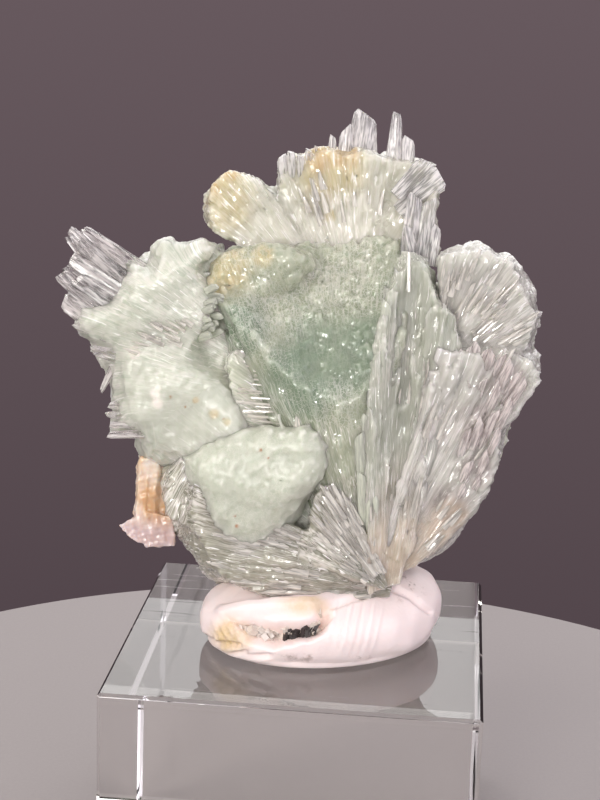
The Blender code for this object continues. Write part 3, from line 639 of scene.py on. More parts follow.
    # Painted glints: short near-white dashes along the fibres
    painted_glints = add("MapRange", {"Value": dashes, "From Min": 0.64, "From Max": 0.68,
                               "To Max": 0.35 + 0.6 * streaky})
    painted_glints = add("Math", {0: painted_glints, 1: lively}, operation="MULTIPLY")
    if grainy:
        bare = add("Math", {0: 1.0, 1: capped}, operation="SUBTRACT")
        painted_glints = add("Math", {0: painted_glints, 1: bare}, operation="MULTIPLY")
    tone = add("Mix", {0: painted_glints, 6: tone, 7: colour("#FBF9F6")}, out=2, data_type="RGBA")
    tilt = add("VectorMath", {0: cells, 1: (0.5, 0.5, 0.5)}, operation="SUBTRACT")
    tilt = add("VectorMath", {0: tilt, 1: (facets, facets, facets), 2: outward}, operation="MULTIPLY_ADD")
    facet = add("VectorMath", {0: tilt}, operation="NORMALIZE")
    ridges = add("Bump", {"Height": bands, "Strength": streaky, "Distance": 0.3 * MM})
    silk = add("Bump", {"Height": bands, "Strength": streaky, "Distance": 0.15 * MM, "Normal": facet})
    shader = add("BsdfPrincipled", {"Base Color": tone, "Roughness": 0.35, "IOR": 1.45, "Normal": ridges,
                                    "Coat Weight": wet, "Coat IOR": 1.65, "Coat Roughness": polish,
                                    "Coat Normal": silk, "Subsurface Weight": 1.0,
                                    "Subsurface Radius": (0.9, 1.0, 0.9), "Subsurface Scale": 2.6 * MM})
    add("OutputMaterial", {"Surface": shader})
    return made


CENTRE = dict(
    root=((4.8, -2.3, 32.5), (9.2, -2.3, 32.5)), waist=5.0, bulge=1.0,
    rear=line_of((203, 276, 0), (222, 251, 2), (262, 241, 3), (310, 241, 3), (372, 235, 3), (422, 255, 2)),
    front=line_of((224, 302, -5), (246, 326, -6.5), (286, 372, -7.5), (332, 398, -7.5), (370, 392, -6.5),
                  (404, 330, -5)))
# Outlines in pixels, then the middle's depth, the swell to the front and back and the edge's width
NOSE = ([(203, 274), (208, 261), (224, 250), (246, 245), (268, 242), (294, 242), (312, 250), (314, 268),
         (300, 286), (280, 298), (255, 304), (230, 302), (212, 292)], 0.5, 3.6, 3.0, 20)
GAP_FLOOR = ([(222, 330), (262, 322), (300, 345), (326, 392), (328, 432), (262, 448), (232, 400)], -1.6,
             3.4, 3.0, 30)
CENTRE_MARKS = {
    "green": spots((340, 345, -6, 6.5), (300, 380, -7, 5), (240, 330, -5, 3.5), (400, 275, -3, 3.5)),
    "yellow": spots((225, 268, -3, 3.2), (212, 282, -2, 2.4), (262, 256, -3, 1.4)),
    "black": spots((360, 340, -7.4, 0.36))}
# Milk green: green darkened with painted shade between the blades, paler and sugary at the tips, and wet to
# the eye
finish_centre = milky_aragonite(
    "aragonite_milk_green", "#5F634F", "#A9AD97", "#85927C",
    {"green": "#73866F", "yellow": "#BDAF84", "black": "#26231F"}, cell=(1.8, 1.2, 0.25), grainy=True,
    streaky=0.4, mosaic=0.5, facets=0.65, wet=0.7, polish=0.14)
grown("aragonite_fan_middle", [CENTRE], dict(step=0.16, rough=0.05, tuft=1.2),
      dict(count=900, width=(0.4, 1.4), lift=(-0.3, -0.02)), finish_centre, voxel=0.22, soften=2,
      extra=pillow(*NOSE) + pillow(*GAP_FLOOR), marks=CENTRE_MARKS)


# Aragonite: the fans of the crown
# Three upright fans behind the middle one, grown from the same root, thick and cream-coloured, with yellow
# and ochre iron stains at their tips. The highest clear blades stand out of them.
CROWN = [
    dict(root=line_of((318, 270, 7), (372, 270, 7)), waist=7.0, bulge=0.3,
         rear=line_of((276, 196, 9), (283, 159, 10), (305, 153, 10), (331, 148, 10), (366, 151, 10),
                      (404, 153, 10)),
         front=line_of((273, 204, 3.5), (285, 164, 4), (306, 158, 4), (332, 154, 4), (366, 156, 4),
                       (401, 160, 5))),
    dict(root=line_of((360, 262, 7), (398, 300, 6)), waist=6.0,
         rear=line_of((396, 154, 9), (425, 157, 9), (443, 177, 8), (436, 214, 7), (438, 250, 6)),
         front=line_of((396, 160, 5), (421, 163, 4.5), (438, 182, 4), (431, 215, 3), (434, 250, 2.5))),
    dict(root=line_of((278, 264, 5), (322, 268, 6)), waist=6.0,
         rear=line_of((208, 222, 6), (206, 188, 7), (226, 171, 8), (247, 171, 8), (275, 192, 8)),
         front=line_of((211, 230, 2), (209, 193, 2), (227, 176, 2), (247, 176, 2), (273, 197, 3)))]
CROWN_MARKS = {
    "yellow": spots((225, 205, 3, 3.4), (330, 168, 4, 4), (330, 214, 2.6, 0.8)),
    "orange": spots((207, 190, 3, 1.8), (231, 171, 4, 1.5), (318, 158, 5, 1.8), (345, 157, 5, 1.7))}
# Cream: pale and warm all through, with fine bright lines of painted highlight along the fibres
finish_crown = milky_aragonite(
    "aragonite_cream", "#D8D5C7", "#C9C7B7", "#ADB09E", {"yellow": "#CBBF99", "orange": "#C9B083"},
    streaky=0.6, mosaic=0.25)
grown("aragonite_fan_crown", CROWN, dict(rough=0.08, flat=0.8), dict(count=450, lift=(-0.4, -0.1)),
      finish_crown, marks=CROWN_MARKS)


# Aragonite: the left side with its upper lobe
# Fans of fine aragonite that have grown together into one frosty body, which swells into a smooth lobe low
# on its right. Iron has left rust and tan specks on it, and chalky crumbs stick to it.
LEFT = [
    dict(root=line_of((222, 400, 0), (246, 330, 0)), waist=6.0,
         rear=line_of((112, 432, 2), (108, 395, 2), (92, 345, 3), (92, 308, 3), (122, 270, 3),
                      (162, 246, 4), (222, 239, 4)),
         front=line_of((119, 428, -1.5), (113, 390, -1.5), (100, 345, -1.2), (100, 312, -1), (130, 276, -1),
                       (164, 256, -1), (222, 250, -0.5))),
    dict(root=((6.0, 1.0, 32.0), (9.0, 1.0, 32.0)), waist=6.0,
         rear=((-14.0, 5.0, 37.0), (-17.0, 6.0, 42.0), (-18.5, 6.0, 49.0), (-12.0, 6.0, 57.0),
               (-3.0, 5.0, 61.0)),
         front=((-12.6, -4.0, 38.0), (-13.0, -4.0, 43.0), (-12.5, -4.0, 49.0), (-7.5, -3.0, 54.0),
                (-3.5, -2.0, 57.0)))]
LEFT_BODY = ([(80, 307), (80, 315), (75, 325), (100, 347), (108, 358), (112, 392), (109, 408), (112, 430),
              (136, 437), (143, 458), (165, 466), (195, 470), (228, 474), (254, 463), (262, 442),
              (257, 424), (248, 402), (234, 381), (221, 365), (207, 352), (209, 336), (221, 323),
              (231, 312), (226, 300), (214, 289), (203, 277), (205, 262), (217, 247), (199, 239),
              (178, 247), (163, 242), (153, 248), (147, 266), (130, 262), (119, 284), (107, 303),
              (90, 304)], 0.0, 3.6, 3.0, 22)
LOBE_LINE = [(165, 410), (190, 420), (220, 440)]
SHOULDER = [(150, 300), (190, 300)]
LEFT_MARKS = {
    "calm": spots((158, 400, -6, 3.6), (190, 415, -6.5, 4.6), (222, 436, -6.5, 4.6)),
    "chalk": spots((157, 403, -7.4, 0.7), (155, 394, -7.2, 0.6), (158, 388, -7.0, 0.4),
                   (134, 352, -4.6, 0.8), (222, 306, -4, 1.2), (210, 336, -4.2, 1.0)),
    "rust": spots((171, 397, -6.4, 0.2), (195, 401, -6.4, 0.24), (185, 407, -6.4, 0.14),
                  (224, 419, -6.4, 0.16)),
    "tan": spots((196, 400, -6.4, 0.4), (214, 414, -6.4, 0.6), (227, 422, -6.4, 0.5))}
# Frost: a cold pale green with many small broken faces and a duller shine
finish_left = milky_aragonite(
    "aragonite_frost", "#CED0C2", "#CCCEC1", "#A3AF9C",
    {"rust": "#B5946C", "tan": "#CDC2A6", "chalk": "#F4EEE6"}, cell=(2.2, 1.8, 0.8), streaky=0.55,
    mosaic=0.5, facets=0.5, wet=0.4, polish=0.2)
grown("aragonite_fan_left", LEFT, dict(step=0.35, flat=0.8), dict(count=500, lift=(-0.3, -0.03)),
      finish_left, voxel=0.22, soften=2, marks=LEFT_MARKS,
      extra=pillow(*LEFT_BODY, uneven=0.6, swells=[(LOBE_LINE, 84, 2.9), (SHOULDER, 60, 0.9)]))


# Aragonite: the small clear sheaf in the gap
# Its fibres lie almost level between the middle fan and the upper lobe, grown from the fan's side, and show
# dark streaks and bright lines of painted highlight along them.
LADDER = dict(root=line_of((322, 452, -3.6), (326, 418, -3.6)), waist=2.2,
              rear=line_of((240, 430, -3), (228, 396, -3), (224, 352, -3), (252, 336, -3)),
              front=line_of((244, 428, -5.4), (232, 394, -5.4), (228, 356, -5.4), (254, 340, -5.6)))
# Clear green: dark streaks and bright lines of painted highlight side by side, which make it look clear
finish_ladder = milky_aragonite(
    "aragonite_clear_green", "#B0B49F", "#C4C7B4", "#96A08B", streaky=1.0, cell=(1.6, 1.2, 0.2), mosaic=0.5)
grown("aragonite_ladder", [LADDER], {}, dict(count=160, width=(0.3, 0.8)), finish_ladder)


# Aragonite: the smooth lower lobe
# A rounded lobe of aragonite fibres too fine to see, grown under the gap and over the foot. It is even as
# milk, with a sugary grain and four rust specks.
LOWER_LOBE = ([(182, 458), (206, 440), (236, 426), (262, 426), (284, 424), (306, 420), (322, 429),
               (331, 447), (328, 468), (318, 490), (306, 507), (286, 531), (264, 547), (240, 551),
               (222, 545), (204, 530), (196, 505), (188, 482)], -4.4, 3.8, 3.0, 26)
LOWER_LINE = [(215, 490), (255, 500), (300, 450)]
LOBE_MARKS = {
    "rust": spots((237, 526, -8.6, 0.26), (235, 516, -8.6, 0.18), (261, 450, -8.6, 0.2),
                  (268, 458, -8.6, 0.14))}
# Milk: even and soft, with light scattered under a skin that is hardly glossy
finish_lobe = milky_aragonite(
    "aragonite_milk", "#C8CBBC", "#C8CBBC", "#B0BAA8", {"rust": "#AA7148"}, grainy=True, streaky=0.0,
    mosaic=0.28, facets=0.35, wet=0.25, polish=0.35)
lobe_parts = pillow(*LOWER_LOBE, uneven=0.3, swells=[(LOWER_LINE, 60, 0.9)])
mesh, verts, edges = fused("aragonite_lobe_lower", lobe_parts, 0.2)
skinned("aragonite_lobe_lower", mesh, verts, edges, verts, np.ones(len(verts)), finish_lobe, soften=2,
        marks=LOBE_MARKS)


# Aragonite: the fans of the right side
# An upper fan that spreads to the right edge and a long lower one that rises from the foot, both of broad
# aragonite blades, clearer and greyer than the middle, with peach stains low down, a painted glow, and
# mauve-grey patches painted as views through clear crystal into the dim room.
RIGHT = [
    dict(root=line_of((436, 342, 0), (448, 376, 0)), waist=6.0,
         rear=line_of((442, 250, 4), (467, 245, 4), (490, 248, 4), (514, 256, 4), (528, 278, 4),
                      (533, 300, 4), (537, 318, 3), (534, 345, 3)),
         front=line_of((440, 257, -4), (465, 250, -4), (489, 252, -4), (512, 260, -3.5), (525, 281, -3),
                       (530, 302, -2.5), (534, 320, -2.5), (532, 346, -2.5))),
    dict(root=line_of((372, 592, -3), (404, 572, -3)), waist=6.0,
         rear=line_of((440, 300, 3), (480, 325, 3), (510, 340, 3), (534, 350, 3), (537, 378, 3),
                      (515, 402, 3), (502, 440, 3), (492, 480, 3), (474, 510, 2.5), (448, 541, 2)),
         front=line_of((440, 345, -7), (476, 350, -6), (507, 352, -5), (529, 356, -4), (533, 380, -4),
                       (512, 404, -4.5), (499, 440, -5), (489, 480, -5), (471, 509, -5), (446, 539, -5)))]
# Painted light among these marks: a near-white painted glow on the upper fan, and mauve-grey patches
# painted as views of the dim room through clear crystal
RIGHT_MARKS = {
    "black": spots((505, 300, -4.6, 0.42)),
    "painted_glow": spots((482, 318, -4, 1.8)),
    "peach": spots((430, 545, -5.5, 3.4), (412, 572, -5.5, 3), (448, 520, -5, 2.4)),
    "painted_window_view": spots((500, 380, -4, 2.6), (478, 420, -5, 2.4), (448, 512, -5.5, 3.0), (476, 470, -5, 2.0))}
# Clear grey: greyer and deeper, in large flat faces that catch the light by turns, with a painted glow and
# mauve-grey patches painted as views through it
finish_right = milky_aragonite(
    "aragonite_clear_grey", "#C9C7BC", "#C0BEB6", "#9E9F95",
    {"painted_window_view": "#A89E9A", "peach": "#C3AD97", "painted_glow": "#EDEBE2", "black": "#26231F"}, streaky=0.7,
    cell=(1.2, 0.9, 0.28), mosaic=0.45)
grown("aragonite_fan_right", RIGHT, dict(flat=0.8), dict(count=800, lift=(-0.4, -0.08)), finish_right,
      voxel=0.22, depth=1.0, marks=RIGHT_MARKS)


# Aragonite: the long blades on the front right
# A narrow sheaf of long satin blades that grew from the foot straight up, in front of the right side, and
# ends in a point at the top.
FRONT_RIGHT = [
    dict(root=line_of((364, 586, -5), (398, 574, -4.5)), waist=4.0,
         rear=line_of((372, 394, -3), (385, 322, -2), (396, 264, -1), (410, 249, -1), (430, 263, -1),
                      (448, 300, -1), (462, 346, -1)),
         front=line_of((366, 416, -7.2), (377, 352, -6.8), (391, 290, -5.4), (408, 262, -3.8),
                       (426, 267, -3.8), (438, 302, -5.6), (454, 310, -5.8), (462, 356, -5.8)))]
FRONT_MARKS = {"peach": spots((398, 548, -7, 3.6), (385, 575, -6.8, 3))}
# Satin: brown-grey at the root and silvery along the blades, with a silky shine and bright lines of painted
# highlight
finish_front = milky_aragonite(
    "aragonite_satin", "#9E907D", "#ABADA0", "#8E9382", {"peach": "#C6B5A1"}, streaky=0.7,
    cell=(1.6, 1.2, 0.25), mosaic=0.3, fade=0.5)
grown("aragonite_blades_front", FRONT_RIGHT, dict(flat=0.8),
      dict(count=600, width=(0.4, 1.4), lift=(-0.4, -0.1)), finish_front, depth=1.0, marks=FRONT_MARKS)


# Aragonite: the glassy foot
# Low sheaves of glassy grey aragonite that grew from the foot of the cluster to the left, close above the
# putty, which holds the whole cluster here.
FOOT = [
    dict(root=line_of((384, 598, -3), (392, 572, -3)), waist=5.0,
         rear=line_of((262, 602, 0), (206, 575, 0), (188, 550, 0), (171, 515, -1), (174, 478, -2)),
         front=line_of((270, 598, -7), (217, 570, -8), (202, 550, -8.5), (192, 520, -8), (196, 482, -8))),
    dict(root=line_of((384, 590, -6), (388, 584, -6)), waist=2.0,
         rear=line_of((296, 556, -4), (306, 512, -4), (318, 484, -4), (334, 476, -4), (350, 490, -4)),
         front=line_of((300, 558, -6.6), (308, 514, -6.3), (320, 487, -6.2), (335, 480, -5.9),
                       (349, 495, -5.4))),
    dict(root=line_of((206, 420, -3), (228, 430, -3)), waist=3.0,
         rear=line_of((164, 470, -1), (166, 515, -1.5), (186, 535, -2), (214, 535, -2)),
         front=line_of((168, 472, -5), (171, 512, -6), (190, 530, -6.5), (214, 530, -6.5)))]
# Glass grey: a grey tone darkened with painted shade, as clear crystal shows its own shadow, with strong
# bright lines of painted highlight along it
finish_foot = milky_aragonite(
    "aragonite_glass_grey_painted_shade", "#7A7867", "#A4A191", "#626351", streaky=0.85, cell=(1.2, 0.9, 0.25),
    mosaic=0.5)
grown("aragonite_foot", FOOT, {}, dict(count=600, width=(0.3, 0.9), reach=(0.15, 0.5), lift=(-0.4, -0.1)),
      finish_foot, depth=1.0)


# Aragonite: the fans of the hidden side
# Four plainer fans from the same root that close the cluster at its back, milky with greener patches. Their
# tips are coarser than those in front.
BACK = [
    dict(root=((0.0, 4.0, 48.0), (6.0, 4.0, 48.0)), waist=5.0, bulge=1.5,
         rear=((-11.0, 11.0, 55.0), (-6.0, 14.5, 56.0), (1.0, 15.5, 56.0), (8.0, 14.0, 56.0),
               (13.0, 10.5, 55.0)),
         front=((-12.5, 6.0, 64.0), (-7.0, 7.5, 68.0), (0.0, 8.0, 69.5), (7.0, 7.5, 68.5),
                (13.0, 6.0, 65.0))),
    dict(root=((4.0, 3.0, 32.5), (9.0, 3.0, 32.5)), waist=5.0, bulge=1.0,
         rear=((-9.0, 9.0, 35.0), (-4.0, 13.0, 36.5), (3.0, 15.0, 38.0), (9.0, 13.5, 37.5),
               (13.0, 10.0, 36.0)),
         front=((-12.0, 11.0, 46.0), (-7.0, 15.0, 51.0), (1.0, 17.0, 53.5), (9.0, 15.5, 52.0),
                (15.0, 12.0, 47.0))),
    dict(root=((-2.0, 2.0, 42.0), (-3.0, 2.0, 50.0)), waist=3.0,
         rear=((-8.0, 13.0, 40.0), (-13.0, 14.5, 45.0), (-15.0, 14.5, 52.0), (-13.0, 13.0, 60.0)),
         front=((-13.0, 6.0, 38.0), (-19.5, 7.0, 44.0), (-22.5, 7.0, 52.0), (-20.0, 7.0, 60.5))),
    dict(root=((9.0, 3.0, 35.0), (9.5, 3.0, 40.0)), waist=5.0, bulge=1.0,
         rear=((9.0, 12.5, 38.5), (14.0, 14.0, 43.5), (16.0, 14.0, 50.5), (14.0, 12.5, 58.0)),
         front=((13.5, 6.0, 36.0), (19.5, 7.0, 42.0), (22.0, 7.0, 50.0), (20.5, 6.5, 58.5)))]
BACK_MARKS = {"green": [((0, 12, 62), 6), ((6, 14, 45), 5), ((-10, 10, 50), 4)]}
# Plain milk: soft and even, with greener patches
finish_back = milky_aragonite(
    "aragonite_milk_back", "#B9BAA5", "#C2C3B1", "#A0AA94", {"green": "#8FA08A"}, grainy=True,
    cell=(1.8, 1.8, 1.8), streaky=0.4)
grown("aragonite_fans_back", BACK, dict(pitch=0.7, step=0.5), dict(count=350, width=(0.5, 1.6)),
      finish_back, voxel=0.34, marks=BACK_MARKS)


# Aragonite: clear single crystals
# Clear crystals of the same growth that stand out of the milky fans on their own or side by side, with
# slanted ends and fine growth lines along them. Each is rooted inside a fan.
def clear_aragonite(name, tint, milk, least, most):
    """Clear aragonite with growth lines along each crystal and patches of milk in it, from least to
    most."""
    made, add = new_material(name)
    where = add("TexCoord", out="Object")
    fibre = add("Attribute", out="Vector", attribute_name="fibre")
    lines = add("TexNoise", {"Vector": fibre, "Scale": 5.0, "Detail": 2.0})
    cloud = add("TexNoise", {"Vector": where, "Scale": 330.0, "Detail": 2.0})
    streak = add("Math", {0: lines, 1: 0.6}, operation="MULTIPLY")
    streak = add("Math", {0: cloud, 1: 0.4, 2: streak}, operation="MULTIPLY_ADD")
    milky = add("MapRange", {"Value": streak, "From Min": 0.4, "From Max": 0.6, "To Min": least,
                             "To Max": most}, interpolation_type="SMOOTHSTEP")
    glassy = add("Math", {0: 1.0, 1: milky}, operation="SUBTRACT")
    tone = add("Mix", {0: milky, 6: colour(tint), 7: colour(milk)}, out=2, data_type="RGBA")
    gloss = add("MapRange", {"Value": lines, "To Min": 0.04, "To Max": 0.25})
    relief = add("Bump", {"Height": lines, "Strength": 0.25, "Distance": 0.12 * MM})
    shader = add("BsdfPrincipled", {"Base Color": tone, "Roughness": gloss, "IOR": 1.6,
                                    "Transmission Weight": glassy, "Normal": relief,
                                    "Subsurface Weight": 0.6, "Subsurface Radius": (1.0, 1.0, 1.0),
                                    "Subsurface Scale": 1.0 * MM})
    add("OutputMaterial", {"Surface": shader})
    return made


def clear_blades(name, blades, material, facets=12):
    """Broad clear crystals with facets along them and blunt slanted ends, as one piece. Each has a root and
    a tip, its widths at both, its thickness and how far its end slants, in mm."""
    corners, faces, fibre = [], [], []
    for root, tip, wide, thick, slant in blades:
        axis = unit(tip - root)
        aside = unit(np.cross(axis, (0.0, 1.0, 0.0)))
        facing = np.cross(axis, aside)
        turn = (np.arange(facets) + chance.uniform(-0.35, 0.35, facets)) * 2 * math.pi / facets
        u, v = np.cos(turn), np.sin(turn) * chance.uniform(0.45, 1.0, facets)
        shift = chance.uniform(0, 50)
        long = np.linalg.norm(tip - root)
        rings = (0, wide[0], 1.0), (long - 0.5, wide[1], 0.8), (long, wide[1] * 0.72, 0.45)
        for along, width, depth in rings:
            high = along + (along > 0) * slant * u
            corners.append(root + axis * high[:, None] + aside * (u * width / 2)[:, None]
                           + facing * (v * depth * thick / 2)[:, None])
            fibre.append(np.stack([u * width / 2 + shift, v * thick / 2, high * 0.12], axis=1))
        start = (len(corners) - 3) * facets
        k = np.arange(facets)
        after = (k + 1) % facets
        for low in (start, start + facets):
            faces += np.stack([low + k, low + after, low + facets + after, low + facets + k],
                              axis=1).tolist()
        faces += [(start + k[::-1]).tolist(), (start + 2 * facets + k).tolist()]
    mesh = bpy.data.meshes.new(name)
    mesh.from_pydata((np.concatenate(corners) * MM).tolist(), [], faces)
    set_values(mesh, "fibre", np.concatenate(fibre))
    return dressed(new_object(name, mesh, material), "aragonite_cluster")


def crystals(*rows):
    """Blades for clear_blades. A row is a pixel and a depth for the root and for the tip, the two widths,
    the thickness and how far the end slants."""
    return [(seen(*row[:3]), seen(*row[3:6]), row[6:8], *row[8:]) for row in rows]


# Clear crystal: you see through it, and its edges and thin milky streaks catch the light
glass = clear_aragonite("clear_aragonite", "#FDFBFB", "#F4EDEB", 0.15, 0.75)
TOPS = crystals(
    (357, 184, 6, 366, 114, 6, 4.6, 2.6, 2.2, 0.5), (345, 184, 5, 346, 128, 5.4, 2.4, 1.4, 1.6, -0.5),
    (393, 182, 5.6, 397, 113, 5.8, 2.4, 1.1, 1.8, 0.15), (406, 182, 5.6, 409, 138, 5.6, 1.8, 1.4, 1.6, 0.3),
    (331, 180, 5, 333, 136, 5.4, 1.4, 0.8, 1.2, 0.2), (320, 178, 5, 318, 147, 5, 1.6, 1.0, 1.2, 0.2),
    (286, 214, 6, 282, 156, 3.4, 1.2, 1.2, 1.2, -0.3), (295, 214, 6, 291, 152, 3.2, 1.2, 1.0, 1.2, 0.1),
    (303, 208, 6, 300, 156, 3.2, 1.2, 1.0, 1.0, 0.1), (310, 204, 6, 309, 150, 3.4, 1.2, 0.9, 1.0, 0.2),
    (398, 212, 3.4, 441, 176, 4.2, 1.8, 3.0, 1.8, 0.2), (396, 196, 3.4, 428, 162, 4.6, 1.6, 2.2, 1.6, -0.2),
    (408, 262, 1.6, 416, 196, 3, 2.2, 1.8, 2.0, 0.4), (420, 264, 1.6, 430, 200, 3, 2.0, 1.7, 1.8, -0.4),
    (430, 266, 1.6, 437, 226, 2.4, 1.6, 1.2, 1.6, 0.3), (414, 266, 1.0, 408, 226, 1.4, 1.6, 1.0, 1.4, 0.3))
clear_blades("aragonite_clear_top", TOPS, glass)
SIDES = crystals(
    (156, 308, -1.0, 71, 227, 0.3, 5.2, 1.8, 1.8, 0.4), (150, 320, -1.2, 74, 246, -0.2, 4.4, 2.4, 1.8, 0.2),
    (150, 300, -0.4, 106, 252, 0.6, 2.4, 1.2, 1.4, 0.3),
    (150, 330, -1.6, 60, 262, -0.8, 5.0, 2.6, 2.0, -0.3),
    (150, 345, -2.0, 66, 288, -1.2, 4.6, 3.2, 1.8, 0.6), (118, 358, -1, 101, 391, -2, 1.2, 0.6, 1.0, 0.2),
    (140, 344, -2.6, 78, 322, -2.2, 3.0, 1.6, 1.6, 0.6),
    (140, 362, -2.6, 92, 350, -2.2, 2.2, 1.2, 1.6, -0.3),
    (160, 405, -4.6, 109, 405, -4.2, 1.2, 0.9, 1.4, 0.2),
    (160, 414, -5, 107, 415, -4.6, 1.0, 0.8, 1.4, -0.2), (160, 424, -5, 110, 425, -4.6, 1.0, 0.8, 1.2, 0.1),
    (160, 433, -4.8, 108, 435, -4.4, 1.2, 0.8, 1.2, 0.2), (500, 322, 0, 541, 315, 1.0, 1.6, 1.0, 1.4, 0.2),
    (505, 396, -1, 536, 370, 0.2, 2.2, 1.4, 1.8, 0.4), (502, 410, -2, 528, 386, -1.6, 2.0, 1.2, 1.6, -0.3))
# Water-clear crystal: almost no milk, so the room shows through it
water_clear = clear_aragonite("water_clear_aragonite", "#FCF8F8", "#E4DAD6", 0.0, 0.6)


def split(blade, count):
    """Slender blades side by side, uneven in length, that make up a broad one."""
    root, tip, wide, thick, slant = blade
    axis = unit(tip - root)
    long = np.linalg.norm(tip - root)
    aside = unit(np.cross(axis, (0.0, 1.0, 0.0)))
    made = []
    for k in range(count):
        across = (k + 0.5) / count - 0.5 + chance.uniform(-0.2, 0.2) / count
        deep = np.array((0.0, chance.uniform(-0.4, 0.4), 0.0)) * thick
        short = axis * long * chance.uniform(0.0, 0.1)
        low = root + aside * across * wide[0] + deep
        high = tip + aside * across * wide[1] * 1.3 + deep - short
        widths = [width / count * 2.0 for width in wide]
        made.append((low, high, widths, thick * 0.8, slant * chance.uniform(-1, 1)))
    return made


SIDES = sum((split(blade, 3) for blade in SIDES[:5]), []) + SIDES[5:]
clear_blades("aragonite_clear_sides", SIDES, water_clear)
# The jagged clear crystals along the upper edge of the lower right fan
JAG_DEPTHS = (-3.4, -6.1)
JAGS = crystals(*(
    (u, v, JAG_DEPTHS[0], tip_u, tip_v, JAG_DEPTHS[1], wide, wide * 0.8, wide * 0.6, slant)
    for u, v, tip_u, tip_v, wide, slant in (
        (446, 404, 463, 352, 1.2, 0.4), (452, 410, 470, 347, 0.9, -0.3), (458, 408, 478, 344, 1.3, 0.4),
        (464, 412, 486, 350, 0.8, -0.3), (468, 418, 493, 352, 1.3, 0.4), (474, 416, 503, 356, 1.0, -0.4),
        (480, 424, 512, 362, 1.4, 0.4), (484, 430, 520, 372, 0.9, -0.3), (486, 438, 526, 380, 1.2, 0.4),
        (470, 450, 500, 384, 1.2, 0.5), (460, 452, 484, 380, 1.0, -0.4), (452, 448, 470, 384, 1.1, 0.4),
        (478, 462, 512, 402, 1.2, 0.5), (466, 480, 496, 412, 1.1, -0.4), (456, 486, 482, 420, 1.3, 0.5),
        (470, 496, 500, 430, 1.0, 0.4), (448, 494, 468, 430, 1.0, -0.4), (458, 520, 488, 454, 1.2, 0.5),
        (444, 526, 470, 462, 1.1, -0.4), (436, 540, 466, 486, 1.2, 0.4), (450, 530, 480, 478, 1.0, 0.4))))
# Rosy crystal: clear with a faint blush, milkier than the top ones
rosy = clear_aragonite("rosy_aragonite", "#F7ECEA", "#E6DAD6", 0.3, 0.85)
clear_blades("aragonite_clear_right", JAGS, rosy)
# The blades that make the stepped left edge of the front fan
STEPS = crystals(
    (380, 430, -4.6, 387, 302, -6.0, 1.5, 1.1, 0.9, 0.3),
    (375, 470, -4.8, 379, 352, -6.9, 1.6, 1.3, 0.9, -0.3),
    (371, 530, -4.8, 368, 416, -7.2, 1.6, 1.4, 0.9, 0.3),
    (366, 550, -4.6, 360, 434, -7.0, 1.5, 1.3, 0.8, -0.4),
    (367, 570, -4.6, 362, 474, -6.8, 1.4, 1.2, 0.8, 0.3),
    (374, 584, -4.8, 372, 498, -7.0, 1.6, 1.4, 0.9, -0.3))
# Cloudy crystal: greenish and milky, with a glint at its edges
cloudy = clear_aragonite("cloudy_aragonite", "#EEF0E4", "#C9CCBC", 0.6, 0.95)
clear_blades("aragonite_clear_front", STEPS, cloudy)


def laid(sheaf, count, width, start, reach=(0.08, 0.25), rise=(-0.05, 0.25), along=(0.03, 0.97)):
    """Clear blades that lie on the front flank of a sheaf, along its fibres."""
    root, tip = fibre_ends(sheaf, chance.uniform(*along, count), np.ones(count))
    low = chance.uniform(*start, count)
    high = np.minimum(low + chance.uniform(*reach, count), 1.01)
    out = np.array((0.0, -1.0, 0.1)) * chance.uniform(*rise, count)[:, None]
    wide = chance.uniform(*width, count)
    slant = chance.uniform(-0.8, 0.8, count)
    starts, ends = (root + (tip - root) * share[:, None] + out for share in (low, high))
    return list(zip(starts, ends, zip(wide, wide * 0.6), wide * 0.5, slant * wide))


# Frosted crystal: mostly milky and warm, so it shows as pale flecks on the fans
frosted = clear_aragonite("frosted_aragonite", "#FAF4EC", "#EBE3D8", 0.45, 0.92)
for name, sheaves, each, shape in (
        ("right", RIGHT, 45, dict(width=(0.3, 0.8), start=(0.35, 0.8), reach=(0.1, 0.3))),
        ("left", LEFT[:1], 60, dict(width=(0.3, 0.8), start=(0.38, 0.6), reach=(0.08, 0.2), rise=(2.2, 3.0),
                                    along=(0.1, 0.66))),
        ("crown", CROWN[:2], 14, dict(width=(0.3, 0.8), start=(0.4, 0.75))),
        ("foot", FOOT[:2], 60, dict(width=(0.4, 1.2), start=(0.1, 0.7), reach=(0.15, 0.4))),
        ("front", FRONT_RIGHT, 40, dict(width=(0.25, 0.7), start=(0.2, 0.8), reach=(0.08, 0.25)))):
    clear_blades("aragonite_ice_" + name, sum((laid(sheaf, each, **shape) for sheaf in sheaves), []),
                 frosted, facets=8)
# The bright needles in the gap beside the upper lobe, the pale upright crystals under them, and the bright
# line at the top of the front blades
GAP_ROWS, GAP_ROOTS = (348, 420), (232, 258)
needles = []
for v in np.linspace(*GAP_ROWS, 17):
    u, long = chance.uniform(*GAP_ROOTS), chance.uniform(14, 46)
    depth, wide = chance.uniform(-5.9, -5.3), chance.uniform(0.15, 0.45)
    needles.append((seen(u, v, depth), seen(u + long, v + long * chance.uniform(0.02, 0.2), depth + 0.1),
                    (wide, wide * 0.7), wide * 0.7, 0.0))
needles += crystals(
    (300, 432, -6.4, 297, 378, -6.6, 1.4, 1.0, 0.8, 0.3),
    (309, 432, -6.2, 306, 384, -6.6, 1.2, 0.9, 0.7, -0.2),
    (317, 430, -6.2, 316, 388, -6.6, 1.0, 0.7, 0.6, 0.2),
    (409, 292, -4.5, 409, 252, -3.9, 0.4, 0.35, 0.35, 0.0))
clear_blades("aragonite_needles", needles, frosted, facets=6)
